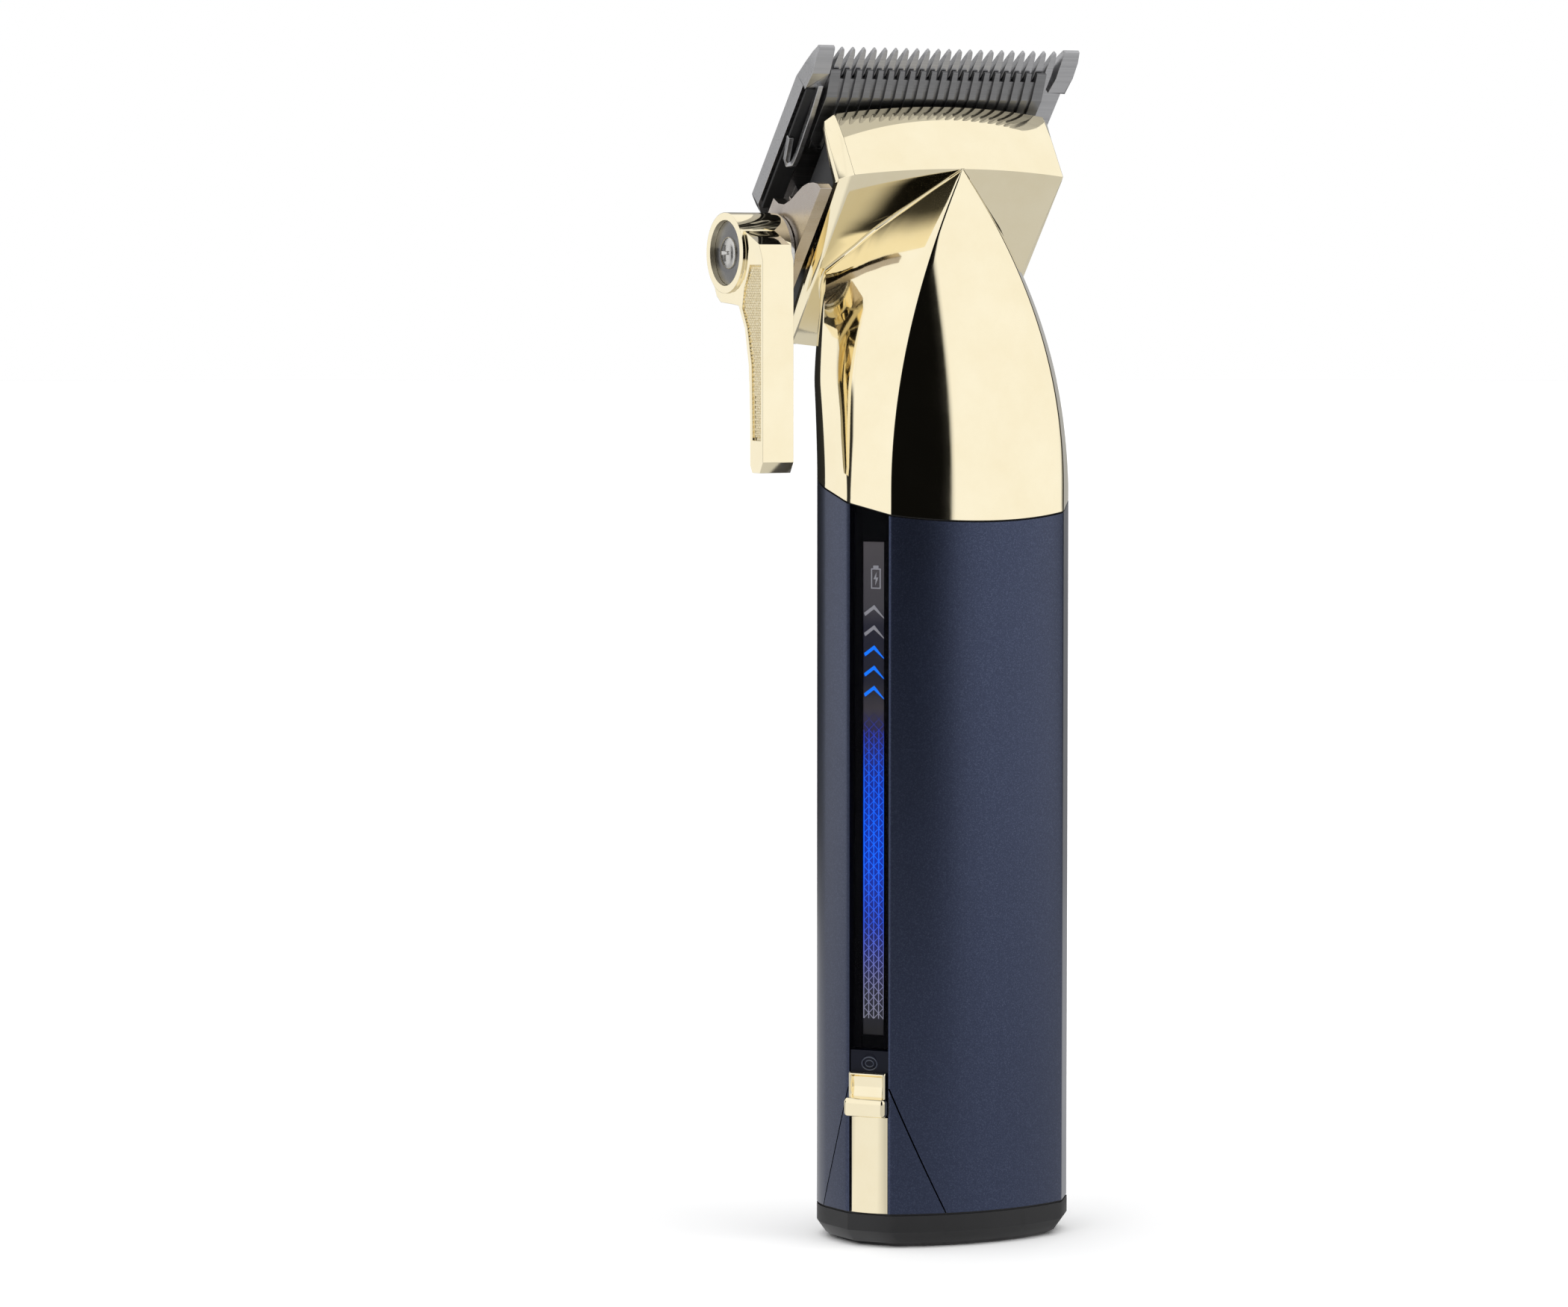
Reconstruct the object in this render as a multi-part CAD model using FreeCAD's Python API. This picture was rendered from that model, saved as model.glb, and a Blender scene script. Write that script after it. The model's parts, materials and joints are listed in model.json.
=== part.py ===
"""A cordless hair clipper standing on its base cap.

Millimetres. The origin is the centre of the base's underside, +Z is up, -Y is the front and -X is the
side with the taper lever. The head leans forward: its parts are drawn upright in a head frame, where
y is the depth behind the head's front face and z is the height above its ridge, and are then tilted.
"""
import FreeCAD, Part
import math
import os

from FreeCAD import Vector

# ---- driving dimensions ---------------------------------------------------------------------------
BODY_W, BODY_D = 38.4, 29.8          # grip's width and depth
CREASE_X, CREASE_Y = 14.7, -11.6     # where the curved front meets the flat facets
FRONT_R = 34.4                       # radius of the curved front
FACET_W = 6.86                       # width of the facet that carries the light strip
FACET_DEG = 53.3                     # its direction, measured from the X axis
CAP_H = 5.0                          # base cap's height
CAP_ROUND = 2.4                      # base cap's bottom bevel
PART_Z, PART_DEG = 107.5, 17.0       # parting line: height at the front, and its rise to the back
SEAM = 0.3                           # open seam between two covers
ARCH_Z0, PEAK_Z = 112.0, 159.4       # the pointed front arch starts and ends here
PEAK_Y = -6.8
SHOULDER_Z0, SHOULDER_DROP = 134.0, 3.8  # the sides draw in from here, by this much in the first 12 mm
WAIST_Z0, WAIST_SLOPE = 127.0, 0.21  # the gentler draw-in below that, and its slope
FACET_TWIST, FACET_GROWTH = 6.8, 7.5  # the side facets turn and widen by this much up to the peak
HEAD_TILT = 40.0                     # the head leans forward by this angle
HEAD_HALF_TOP, HEAD_HALF_LOW = 19.0, 18.3
HEAD_LEN = 35.2                      # from the ridge to the chin, along the head
SKIN = 1.0                           # gold tray's thickness
COMB_HALF = 22.5                     # the fixed blade is 45 mm wide
COMB_TIP, COMB_HEEL = 11.3, -20.5    # its ends along the head
COMB_IN, COMB_OUT = 13.8, 16.4       # its two faces
COMB_TEETH, COMB_PITCH = 21, 1.80
CUT_HALF, CUT_TIP, CUT_HEEL = 18.3, 7.6, -9.0
CUT_IN, CUT_OUT = 12.0, 13.7
CUT_TEETH, CUT_PITCH = 20, 1.80
PIVOT_P, PIVOT_Q = -20.3, 4.9        # lever pivot in the head frame
LEVER_SWING = 40.0
CAM_R, CAM_PIN_R = 4.4, 0.9          # the cam pin's distance from the pivot, and its radius
TRAVEL = 2 * CAM_R * math.sin(math.radians(LEVER_SWING / 2))  # comb travel over the lever's swing
BOSS_R, BOSS_IN, BOSS_OUT = 6.0, -22.9, -31.0  # lever hub
RECESS_R, RECESS_DEEP = 4.85, 1.0    # recess in the hub's outer face, for the screw
SHAFT_R, RUN_FIT = 2.0, 0.06          # lever shaft, and the clearance of a running fit
ECC, ECC_PIN_R = 1.1, 1.25           # eccentric's offset and its pin
CUT_REST = -0.9                      # the cutter is stopped this far from the middle of its stroke
MOTOR_Y = 2.0                        # motor axis behind the middle
STRIP_Z0 = 29.4                      # light window starts here
SLIDER_Z0, SLIDER_Z1 = 19.6, 26.1     # power slider, with its switch off
TRIM_W = 5.9                         # gold trim under the slider
PANEL_TOP_Z, PANEL_HALF = 24.8, 10.1  # tapered panel around the trim: top, and half width at the foot
CELL_R, CELL_LEN = 9.2, 65.0         # battery cell
CAP_SCREW = (12.5, 1.0)              # base cap screws, either side

FACET_MID = Vector(-CREASE_X - FACET_W / 2 * math.cos(math.radians(FACET_DEG)),
                   CREASE_Y + FACET_W / 2 * math.sin(math.radians(FACET_DEG)), 0)


# ---- helpers --------------------------------------------------------------------------------------
def box(x0, x1, y0, y1, z0, z1):
    return Part.makeBox(x1 - x0, y1 - y0, z1 - z0, Vector(x0, y0, z0))


def rod(r, start, direction, length):
    return Part.makeCylinder(r, length, Vector(*start), Vector(*direction))


def tube(r_out, r_in, start, direction, length):
    return rod(r_out, start, direction, length).cut(rod(r_in, start, direction, length))


def prism_x(profile, x0, x1):
    """A prism along X from (y, z) corners."""
    wire = Part.makePolygon([Vector(x0, y, z) for y, z in profile + profile[:1]])
    return Part.Face(wire).extrude(Vector(x1 - x0, 0, 0))


def prism_y(profile, y0, y1):
    """A prism along Y from (x, z) corners."""
    wire = Part.makePolygon([Vector(x, y0, z) for x, z in profile + profile[:1]])
    return Part.Face(wire).extrude(Vector(0, y1 - y0, 0))


def tilted(shape):
    """Moves a shape drawn in the head frame to its place."""
    shape = shape.copy()
    shape.rotate(Vector(0, 0, 0), Vector(1, 0, 0), HEAD_TILT)
    shape.translate(Vector(0, PEAK_Y, PEAK_Z))
    return shape


def head_to_world(x, q, p):
    s, c = math.sin(math.radians(HEAD_TILT)), math.cos(math.radians(HEAD_TILT))
    return Vector(x, PEAK_Y + q * c - p * s, PEAK_Z + q * s + p * c)


def on_facet(shape):
    """Moves a shape drawn on the facet (x across, y into the grip, z up) to its place."""
    shape = shape.copy()
    shape.rotate(Vector(0, 0, 0), Vector(0, 0, 1), -FACET_DEG)
    shape.translate(FACET_MID)
    return shape


def save(name, shape):
    shape.exportStep("parts/" + name + ".step")


# ---- the grip's and neck's cross-section ------------------------------------------------------------
def crease(z):
    """(x, y) of the front crease at height z: upright below, closing to the peak above."""
    h = max(0.0, (z - ARCH_Z0) / (PEAK_Z - ARCH_Z0))
    return CREASE_X * (1 - h ** 2), CREASE_Y + (PEAK_Y - CREASE_Y) * h ** 2.5


def side_half(z):
    rise = max(0.0, z - WAIST_Z0)
    waist = WAIST_SLOPE * rise ** 2 / (rise + 5)
    shoulder = SHOULDER_DROP * (max(0.0, z - SHOULDER_Z0) / 12) ** 2
    return BODY_W / 2 - max(waist, shoulder)


def section(z, scale=1.0):
    """The closed outline at height z: curved front, two facets, two sides and an elliptical back."""
    h = max(0.0, (z - ARCH_Z0) / (PEAK_Z - ARCH_Z0))
    cx, cy = crease(z)
    half = side_half(z)
    turn = math.radians(FACET_DEG + FACET_TWIST * h)
    facet_dx, facet_dy = math.cos(turn), math.sin(turn)
    facet = min(FACET_W + FACET_GROWTH * h ** 1.6, (half - 0.3 - cx) / facet_dx)
    bx, by = cx + facet * facet_dx, cy + facet * facet_dy
    side_y = max(0.0, by + 6.0)
    front_y = cy - (FRONT_R - math.sqrt(FRONT_R ** 2 - cx ** 2))

    def at(x, y):
        return Vector(x * scale, y * scale, z)

    back_depth = min(BODY_D / 2 - side_y, 0.78 * half)
    back = Part.Ellipse(at(half, side_y), at(0, side_y + back_depth), at(0, side_y))
    edges = [
        Part.Arc(at(-cx, cy), at(0, front_y), at(cx, cy)).toShape(),
        Part.makeLine(at(cx, cy), at(bx, by)),
        Part.makeLine(at(bx, by), at(half, side_y)),
        Part.ArcOfEllipse(back, 0, math.pi).toShape(),
        Part.makeLine(at(-half, side_y), at(-bx, by)),
        Part.makeLine(at(-bx, by), at(-cx, cy)),
    ]
    return Part.Wire(edges)


def straight_grip(z0, z1, scale=1.0):
    """The grip's outline, drawn straight up."""
    return Part.Face(section(z0, scale)).extrude(Vector(0, 0, z1 - z0))


def neck_loft(heights, scale=1.0):
    return Part.makeLoft([section(z, scale) for z in heights], True, False)


def parting_z(y):
    return PART_Z + (y + BODY_D / 2) * math.tan(math.radians(PART_DEG))


def parting_slab(low, high):
    """Everything between two offsets above and below the slanting parting line."""
    return prism_x([(-30, parting_z(-30) + low), (30, parting_z(30) + low),
                    (30, parting_z(30) + high), (-30, parting_z(-30) + high)], -30, 30)


# ---- head: gold housing -----------------------------------------------------------------------------
NECK_HEIGHTS = [104, 108, 112, 120, 128, 134, 138, 142, 146, 150, 154, 157, 158.8]
RIDGE_HALF = 17.7


def head_tray():
    """The flat lower part of the head: a plate with an arched ridge and an arched chin."""
    def at(x, p):
        return Vector(x, 0, p)
    chin = -HEAD_LEN
    edges = [
        Part.Arc(at(-RIDGE_HALF, -1.0), at(0, 0), at(RIDGE_HALF, -1.0)).toShape(),
        Part.makeLine(at(RIDGE_HALF, -1.0), at(HEAD_HALF_TOP, -2.2)),
        Part.makeLine(at(HEAD_HALF_TOP, -2.2), at(HEAD_HALF_LOW, chin + 1.6)),
        Part.Arc(at(HEAD_HALF_LOW, chin + 1.6), at(0, chin), at(-HEAD_HALF_LOW, chin + 1.6)).toShape(),
        Part.makeLine(at(-HEAD_HALF_LOW, chin + 1.6), at(-HEAD_HALF_TOP, -2.2)),
        Part.makeLine(at(-HEAD_HALF_TOP, -2.2), at(-RIDGE_HALF, -1.0)),
    ]
    return Part.Face(Part.Wire(edges)).extrude(Vector(0, SKIN, 0))


def visor_section(x):
    """The visor's outline at one x, as (depth, height) corners: ridge, main edge, rim and inside."""
    if abs(x) > RIDGE_HALF:
        corners = [(1.6, -3.4), (9.4, -0.6), (10.5, 0.3), (10.5, -0.9), (2.6, -5.0)]
    else:
        arch = (x / RIDGE_HALF) ** 2
        rim = 11.0 - 0.4 * arch
        corners = [(0, -1.3 * arch), (8.2 - 2.0 * arch, 2.6 - 1.9 * arch), (rim, 2.95 - 1.3 * arch),
                   (rim, 1.7 - 2.0 * arch), (0.95, -2.5 - 1.5 * arch)]
    return Part.makePolygon([Vector(x, q, p) for q, p in corners + corners[:1]])


def head_visor():
    stations = [-HEAD_HALF_TOP, -RIDGE_HALF, -13, -9, -4.5, 0, 4.5, 9, 13, RIDGE_HALF, HEAD_HALF_TOP]
    return Part.makeLoft([visor_section(x) for x in stations], True, True)


def head_housing():
    neck = neck_loft(NECK_HEIGHTS)
    neck = neck.common(parting_slab(SEAM / 2, 90))
    neck = neck.common(tilted(box(-30, 30, -60, SKIN, -70, 20)))
    outer = neck.fuse(tilted(head_tray())).fuse(tilted(head_visor()))
    cavity = neck_loft([100, 108, 112, 120, 128, 134, 138, 142, 146, 150], 0.92)
    shaft_way = rod(4.5, (0, MOTOR_Y, 140), (0, 0, 1), 14)
    return outer.cut(cavity).cut(shaft_way).removeSplitter()


# ---- head: frame and covers -------------------------------------------------------------------------
def blade_frame():
    """The plastic block inside the head that carries the blade set and the lever's bearing."""
    side = [(1.05, -33.9), (1.05, -4.6), (9.9, -1.9), (9.9, -10.6), (7.2, -12.4), (7.2, -33.9)]
    block = prism_x(side, -18.0, 18.0)
    yoke_window = box(-8.6, 8.6, -1, 12, -18.0, -4.9)
    guide_window = box(-14, 14, 8.0, 12, -9.8, 0)
    bearing = rod(SHAFT_R + RUN_FIT, (-20, PIVOT_Q, PIVOT_P), (1, 0, 0), 11)
    block = block.cut(yoke_window).cut(guide_window).cut(bearing)
    for x in (-16.0, 13.5):
        block = block.fuse(box(x, x + 2.5, 7.2, PLATE_IN - 0.15, -24.2, -14.0))
    return tilted(block)


def rear_cover():
    """Black cover that closes the head's lower back and its chin."""
    low = -HEAD_LEN + 0.1
    side = [(1.05, low), (1.05, -34.0), (7.3, -34.0), (7.3, -24.6), (11.6, -24.2), (13.2, -25.4),
            (13.2, -29.2), (11.2, -33.0), (7.6, low)]
    return tilted(prism_x(side, -17.6, 17.6))


def pivot_bush():
    return tilted(tube(2.45, SHAFT_R + RUN_FIT, (-19.8, PIVOT_Q, PIVOT_P), (1, 0, 0), 1.7))


# ---- blade set -----------------------------------------------------------------------------------
SCREW_X, SCREW_P = 9.0, -17.2
PLATE_IN, PLATE_OUT = 8.5, 10.6       # carriage plate's two faces
PLATE_LOW, PLATE_TOP = -20.9, -14.0


def fixed_blade():
    """Comb plate with tapered teeth, thicker end teeth, a heel pad and two screw holes."""
    side = [(COMB_IN, COMB_HEEL), (COMB_IN, 7.0), (14.1, COMB_TIP), (14.6, COMB_TIP), (COMB_OUT, 3.4),
            (COMB_OUT, COMB_HEEL + 1.0), (COMB_OUT - 0.7, COMB_HEEL)]
    blade = prism_x(side, -COMB_HALF, COMB_HALF)
    blade = blade.fuse(box(-17.5, 17.5, PLATE_OUT + 0.05, COMB_IN, COMB_HEEL, -14.6))
    end_side = [(COMB_IN, 3.8), (12.9, 3.8), (12.7, 7.0), (14.1, COMB_TIP), (14.2, 8.0)]
    end_in, end_out = 19.7, COMB_HALF
    blade = blade.fuse(prism_x(end_side, end_in, end_out)).fuse(prism_x(end_side, -end_out, -end_in))
    cuts = []
    for i in range(COMB_TEETH + 1):
        x = (i - COMB_TEETH / 2) * COMB_PITCH
        cuts.append(prism_y([(x - 0.18, 4.2), (x + 0.18, 4.2), (x + 0.22, 8.6), (x + 0.6, 11.7),
                             (x - 0.6, 11.7), (x - 0.22, 8.6)], 12, 18))
    for sign in (-1, 1):
        edge = sign * COMB_HALF
        cuts.append(prism_y([(edge - sign * 1.6, COMB_HEEL - 1), (edge, COMB_HEEL + 1.6),
                             (edge + sign, COMB_HEEL + 1.6), (edge + sign, COMB_HEEL - 1)], 10, 18))
        cuts.append(rod(1.6, (sign * SCREW_X, 9, SCREW_P), (0, 1, 0), 8))
        cuts.append(rod(2.8, (sign * SCREW_X, 14.7, SCREW_P), (0, 1, 0), 3))
    return tilted(blade.cut(Part.makeCompound(cuts)))


def moving_blade():
    """Cutter with ribbed teeth, stopped a little to the left of its middle position."""
    side = [(CUT_OUT, CUT_HEEL), (CUT_OUT, CUT_TIP), (13.3, CUT_TIP), (CUT_IN, 3.6), (CUT_IN, CUT_HEEL)]
    blade = prism_x(side, -CUT_HALF, CUT_HALF)
    cuts = []
    for i in range(CUT_TEETH - 1):
        x = (i + 1 - CUT_TEETH / 2) * CUT_PITCH
        cuts.append(prism_y([(x - 0.3, 2.4), (x + 0.3, 2.4), (x + 0.5, 8.0), (x - 0.5, 8.0)], 10, 15))
        cuts.append(box(x - 0.35, x + 0.35, 10, CUT_IN + 0.9, -6.0, 2.4))
    for sign in (-1, 1):
        cuts.append(prism_y([(sign * 13.0, -10), (sign * 19, -10), (sign * 19, -3.5)], 10, 15))
    blade = blade.cut(Part.makeCompound(cuts))
    blade.translate(Vector(CUT_REST, 0, 0))
    return tilted(blade)


def cutter_guide():
    return tilted(box(CUT_REST - 12, CUT_REST + 12, 8.3, CUT_IN, -8.6, -1.9))


def cutter_yoke():
    """Two prongs either side of the eccentric pin, under a bridge on the cutter guide."""
    bridge = box(-5.6, 5.6, 7.2, 8.3, -14.0, -5.6)
    left = box(-5.6, -3.6, 2.6, 7.2, -14.0, -5.6)
    right = box(3.6, 5.6, 2.6, 7.2, -14.0, -5.6)
    yoke = bridge.fuse(left).fuse(right)
    yoke.translate(Vector(CUT_REST, 0, 0))
    return tilted(yoke)


def blade_carriage():
    """Steel plate under the fixed blade, with the ear that the lever's cam pin moves."""
    plate = box(-17.5, 17.5, PLATE_IN, PLATE_OUT, PLATE_LOW, PLATE_TOP)
    arm = box(-20.0, -17.5, PLATE_IN, PLATE_OUT, PLATE_LOW, PLATE_TOP)
    ear_side = [(0.7, -25.0), (0.7, -4.5), (1.9, -4.6), (3.1, -5.3), (4.3, -6.4), (5.3, -7.8), (6.1, -9.6),
                (7.0, -11.8), (8.2, -13.6), (9.7, -14.7), (11.4, -15.1), (11.4, -25.0)]
    ear = prism_x(ear_side, -22.0, -20.0)
    plate = plate.fuse(arm).fuse(ear)
    slot = SHAFT_R + 0.3
    pin_p = PIVOT_P + CAM_R * math.sin(math.radians(LEVER_SWING / 2))
    pin_q = PIVOT_Q + CAM_R * math.cos(math.radians(LEVER_SWING / 2))
    cuts = [
        box(-23, -19.9, PIVOT_Q - slot, PIVOT_Q + slot, PIVOT_P - slot, PIVOT_P + TRAVEL + slot),
        box(-23, -20.2, pin_q - CAM_PIN_R - 0.25, PIVOT_Q + CAM_R + CAM_PIN_R + 0.25,
            pin_p - CAM_PIN_R - 0.12, pin_p + CAM_PIN_R + 0.12),
    ]
    for sign in (-1, 1):
        cuts.append(rod(1.5, (sign * SCREW_X, 8, SCREW_P), (0, 1, 0), 5))
    return tilted(plate.cut(Part.makeCompound(cuts)))


def blade_screws():
    screws = []
    for sign in (-1, 1):
        head = rod(2.6, (sign * SCREW_X, 14.75, SCREW_P), (0, 1, 0), 1.5)
        slot = box(sign * SCREW_X - 2.7, sign * SCREW_X + 2.7, 15.6, 17, SCREW_P - 0.35, SCREW_P + 0.35)
        shank = rod(1.4, (sign * SCREW_X, 8.7, SCREW_P), (0, 1, 0), 6.1)
        screws.append(tilted(head.fuse(shank).cut(slot)))
    return Part.makeCompound(screws)


def tension_spring():
    """A U of spring wire that presses the cutter towards the fixed blade."""
    wire_r, q, p0, p1, half = 0.5, 9.6, -13.3, -9.3, 8.0
    cross = rod(wire_r, (-half, q, p0), (1, 0, 0), 2 * half)
    arms = [rod(wire_r, (sign * half, q, p0), (0, 0, 1), p1 - p0) for sign in (-1, 1)]
    corners = [Part.makeSphere(wire_r, Vector(sign * half, q, p0)) for sign in (-1, 1)]
    return tilted(cross.fuse(arms + corners))


# ---- taper lever -----------------------------------------------------------------------------------
PIVOT = head_to_world(0, PIVOT_Q, PIVOT_P)


def around_pivot(outline):
    """Corners given as (y, z) from the lever's pivot."""
    return [(PIVOT.y + y, PIVOT.z + z) for y, z in outline]


def taper_lever():
    """Round hub with an arm that wraps under it and hangs down in front; the hub's outer face is recessed."""
    y, z = PIVOT.y, PIVOT.z
    hub = rod(BOSS_R, (BOSS_OUT, y, z), (1, 0, 0), BOSS_IN - BOSS_OUT)
    arm = [(5.6, -2.0), (5.2, -3.5), (3.6, -6.4), (2.3, -7.3), (-1.7, -7.6), (-3.6, -7.8), (-5.6, -11.1),
           (-6.9, -16.7), (-7.3, -25.1), (-7.3, -31.3), (-8.0, -32.4), (-10.4, -32.4), (-11.4, -30.8),
           (-11.4, -1.2), (-10.2, 1.2), (-5.5, 3.2), (0.0, 3.0)]
    pocket = [(-10.8, -1.8), (-10.8, -27.6), (-8.1, -27.6), (-7.8, -16.5), (-6.4, -11.1), (-4.7, -8.1),
              (-5.4, -5.2), (-6.7, -3.0), (-7.2, -1.8)]
    lever = hub.fuse(prism_x(around_pivot(arm), -30.5, -25.4))
    recess = rod(RECESS_R, (BOSS_OUT - 1, y, z), (1, 0, 0), RECESS_DEEP + 1)
    inset = prism_x(around_pivot(pocket), -31.5, -30.1)
    bore = rod(1.1, (BOSS_OUT - 1, y, z), (1, 0, 0), 10)
    return lever.cut(recess).cut(inset).cut(bore).removeSplitter()


def lever_cam():
    """Shaft, disc and pin behind the hub; the pin moves the carriage's ear."""
    start = BOSS_IN + 0.1
    disc = rod(5.6, (start, PIVOT_Q, PIVOT_P), (1, 0, 0), 0.7)
    shaft = rod(SHAFT_R, (start, PIVOT_Q, PIVOT_P), (1, 0, 0), 12.8)
    half_swing = math.radians(LEVER_SWING / 2)
    pin = rod(CAM_PIN_R, (start, PIVOT_Q + CAM_R * math.cos(half_swing),
                          PIVOT_P + CAM_R * math.sin(half_swing)), (1, 0, 0), 2.3)
    bore = rod(1.05, (start - 1, PIVOT_Q, PIVOT_P), (1, 0, 0), 8)
    return tilted(disc.fuse(shaft).fuse(pin).cut(bore))


def lever_screw():
    y, z = PIVOT.y, PIVOT.z
    seat = BOSS_OUT + RECESS_DEEP
    head = rod(2.4, (seat - 1.0, y, z), (1, 0, 0), 1.0)
    shank = rod(1.0, (seat, y, z), (1, 0, 0), 11.5)
    cross = box(seat - 1.1, seat - 0.4, y - 1.5, y + 1.5, z - 0.3, z + 0.3)
    cross = cross.fuse(box(seat - 1.1, seat - 0.4, y - 0.3, y + 0.3, z - 1.5, z + 1.5))
    return head.fuse(shank).cut(cross)


# ---- grip ------------------------------------------------------------------------------------------
GRIP_IN = 0.90                       # the cavity is the outline at this scale


def strip_opening():
    """The way through the facet for the window and switch, and the shallow recess for the trim."""
    through = on_facet(box(-3.2, 3.2, -3, 4, SLIDER_Z0 - 0.1, 130))
    return through.fuse(on_facet(box(-3.2, 3.2, -3, 1.15, 0, SLIDER_Z0)))


def side_wedge(grow):
    top = PANEL_TOP_Z + grow
    return on_facet(prism_y([(-3.43 - grow, top), (3.43 + grow, top), (PANEL_HALF + grow, 0),
                             (-PANEL_HALF - grow, 0)], -6, 8))


def grip_tube():
    tube_solid = straight_grip(CAP_H + SEAM / 2, 130).cut(straight_grip(0, 130, GRIP_IN))
    return tube_solid.common(parting_slab(-150, -SEAM / 2)).cut(strip_opening())


def body_shell():
    return grip_tube().cut(side_wedge(0.0))


def lower_side_panel():
    return grip_tube().common(side_wedge(-0.2))


def seam_gasket():
    ring = straight_grip(90, 130, 0.975).cut(straight_grip(90, 130, 0.925))
    return ring.common(parting_slab(-SEAM / 2, SEAM / 2))


def base_cap():
    bevel = Part.makeLoft([section(0, 0.86), section(0.7, 0.935), section(CAP_ROUND, 1.0)], True, True)
    bevel = bevel.fuse(straight_grip(CAP_ROUND, CAP_H - SEAM / 2))
    collar = straight_grip(CAP_H - SEAM / 2, 9.0, 0.885).cut(straight_grip(0, 12, 0.80))
    cap = bevel.fuse(collar)
    cap = cap.cut(straight_grip(2.2, CAP_H, 0.80))
    cap = cap.fuse(rod(5.6, (0, 0, 1), (0, 0, 1), 3.6)).cut(rod(4.25, (0, 0, -1), (0, 0, 1), 8))
    for sign in (-1, 1):
        x, y = sign * CAP_SCREW[0], CAP_SCREW[1]
        post = rod(3.2, (x, y, 1), (0, 0, 1), 7)
        hole = rod(1.15, (x, y, -1), (0, 0, 1), 12)
        counterbore = rod(2.3, (x, y, -1), (0, 0, 1), 2.8)
        cap = cap.fuse(post).cut(hole).cut(counterbore)
    return cap.removeSplitter()


def charging_socket():
    return rod(4.2, (0, 0, 0.3), (0, 0, 1), 11.2).cut(rod(3.2, (0, 0, 0), (0, 0, 1), 9.8))


def charging_pin():
    return rod(0.8, (0, 0, 5.0), (0, 0, 1), 4.8)


def cap_screws():
    screws = []
    for sign in (-1, 1):
        x, y = sign * CAP_SCREW[0], CAP_SCREW[1]
        head = rod(2.1, (x, y, 0.5), (0, 0, 1), 1.25)
        slot = box(x - 2.2, x + 2.2, y - 0.3, y + 0.3, 0, 0.9)
        screws.append(head.fuse(rod(1.0, (x, y, 1.7), (0, 0, 1), 14)).cut(slot))
    return Part.makeCompound(screws)


# ---- light strip and switch --------------------------------------------------------------------------
def light_window():
    return on_facet(box(-3.1, 3.1, 0.0, 1.0, STRIP_Z0 + 0.1, 130)).common(parting_slab(-150, -SEAM / 2))


def light_panel():
    return on_facet(box(-3.0, 3.0, 1.1, 2.0, 30.5, 106.5))


def led_board():
    board = box(-3.0, 3.0, 3.1, 4.1, 30, 107)
    leds = [box(-1.0, 1.0, 2.2, 3.1, z, z + 2.6) for z in range(34, 105, 6)]
    return on_facet(board.fuse(leds))


def switch_deck():
    deck = box(-3.1, 3.1, 0.3, 1.8, SLIDER_Z0, STRIP_Z0 - 0.1)
    slot = box(-1.2, 1.2, -1, 4, 20.2, 26.0)
    ring = Part.makeTorus(1.05, 0.08, Vector(0, 0.3, 27.7), Vector(0, 1, 0))
    return on_facet(deck.cut(slot).fuse(ring))


def power_slider():
    plate = box(-TRIM_W / 2, TRIM_W / 2, -0.9, 0.2, SLIDER_Z0, SLIDER_Z1)
    scoop = rod(9.0, (-5, -9.5, 24.4), (1, 0, 0), 10)
    ridge = box(-3.3, 3.3, -2.0, -0.15, SLIDER_Z0, SLIDER_Z0 + 2.8)
    ridge = ridge.makeFillet(0.6, [e for e in ridge.Edges if abs(e.CenterOfMass.y + 2.0) < 1e-6])
    stem = box(-1.0, 1.0, 0.2, 3.5, 20.5, 22.6)
    return on_facet(plate.cut(scoop).fuse(ridge).fuse(stem))


def slider_trim():
    return on_facet(box(-TRIM_W / 2, TRIM_W / 2, -0.1, 1.1, CAP_H + SEAM / 2, SLIDER_Z0 - 0.2))


def slide_switch():
    return on_facet(box(-3.0, 3.0, 3.7, 7.2, 17.0, 28.5))


# ---- inside the grip --------------------------------------------------------------------------------
CELL_Y, CELL_Z0 = -0.5, 26.0


def battery():
    return rod(CELL_R, (0, CELL_Y, CELL_Z0), (0, 0, 1), CELL_LEN).fuse(
        rod(2.8, (0, CELL_Y, CELL_Z0 + CELL_LEN), (0, 0, 1), 0.8))


def battery_holder():
    cradle = tube(10.5, CELL_R + 0.15, (0, CELL_Y, 24), (0, 0, 1), 69.5)
    cradle = cradle.cut(box(-12, 12, CELL_Y - 12, CELL_Y - 0.5, 20, 100))
    floor = rod(10.5, (0, CELL_Y, 24), (0, 0, 1), 1.8)
    roof = rod(10.5, (0, CELL_Y, 92.2), (0, 0, 1), 1.3)
    holder = cradle.fuse(floor).fuse(roof)
    for sign in (-1, 1):
        x, y = sign * CAP_SCREW[0], CAP_SCREW[1]
        leg = box(x - 2.4, x + 2.4, y - 2.4, y + 2.4, 9.2, 25.8)
        web = box(min(sign * 8, x), max(sign * 8, x), y - 2.4, y + 2.4, 24, 25.8)
        holder = holder.fuse(leg).fuse(web).cut(rod(1.05, (x, y, 9), (0, 0, 1), 9))
    return holder.removeSplitter()


def main_board():
    board = box(-7, 7, 10.3, 11.3, 28, 92)
    chips = [box(-3, 3, 11.3, 12.2, 40, 48), box(-3.5, 2, 11.3, 12.0, 58, 63), box(-2, 3, 11.3, 12.2, 74, 79)]
    return board.fuse(chips)


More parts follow.
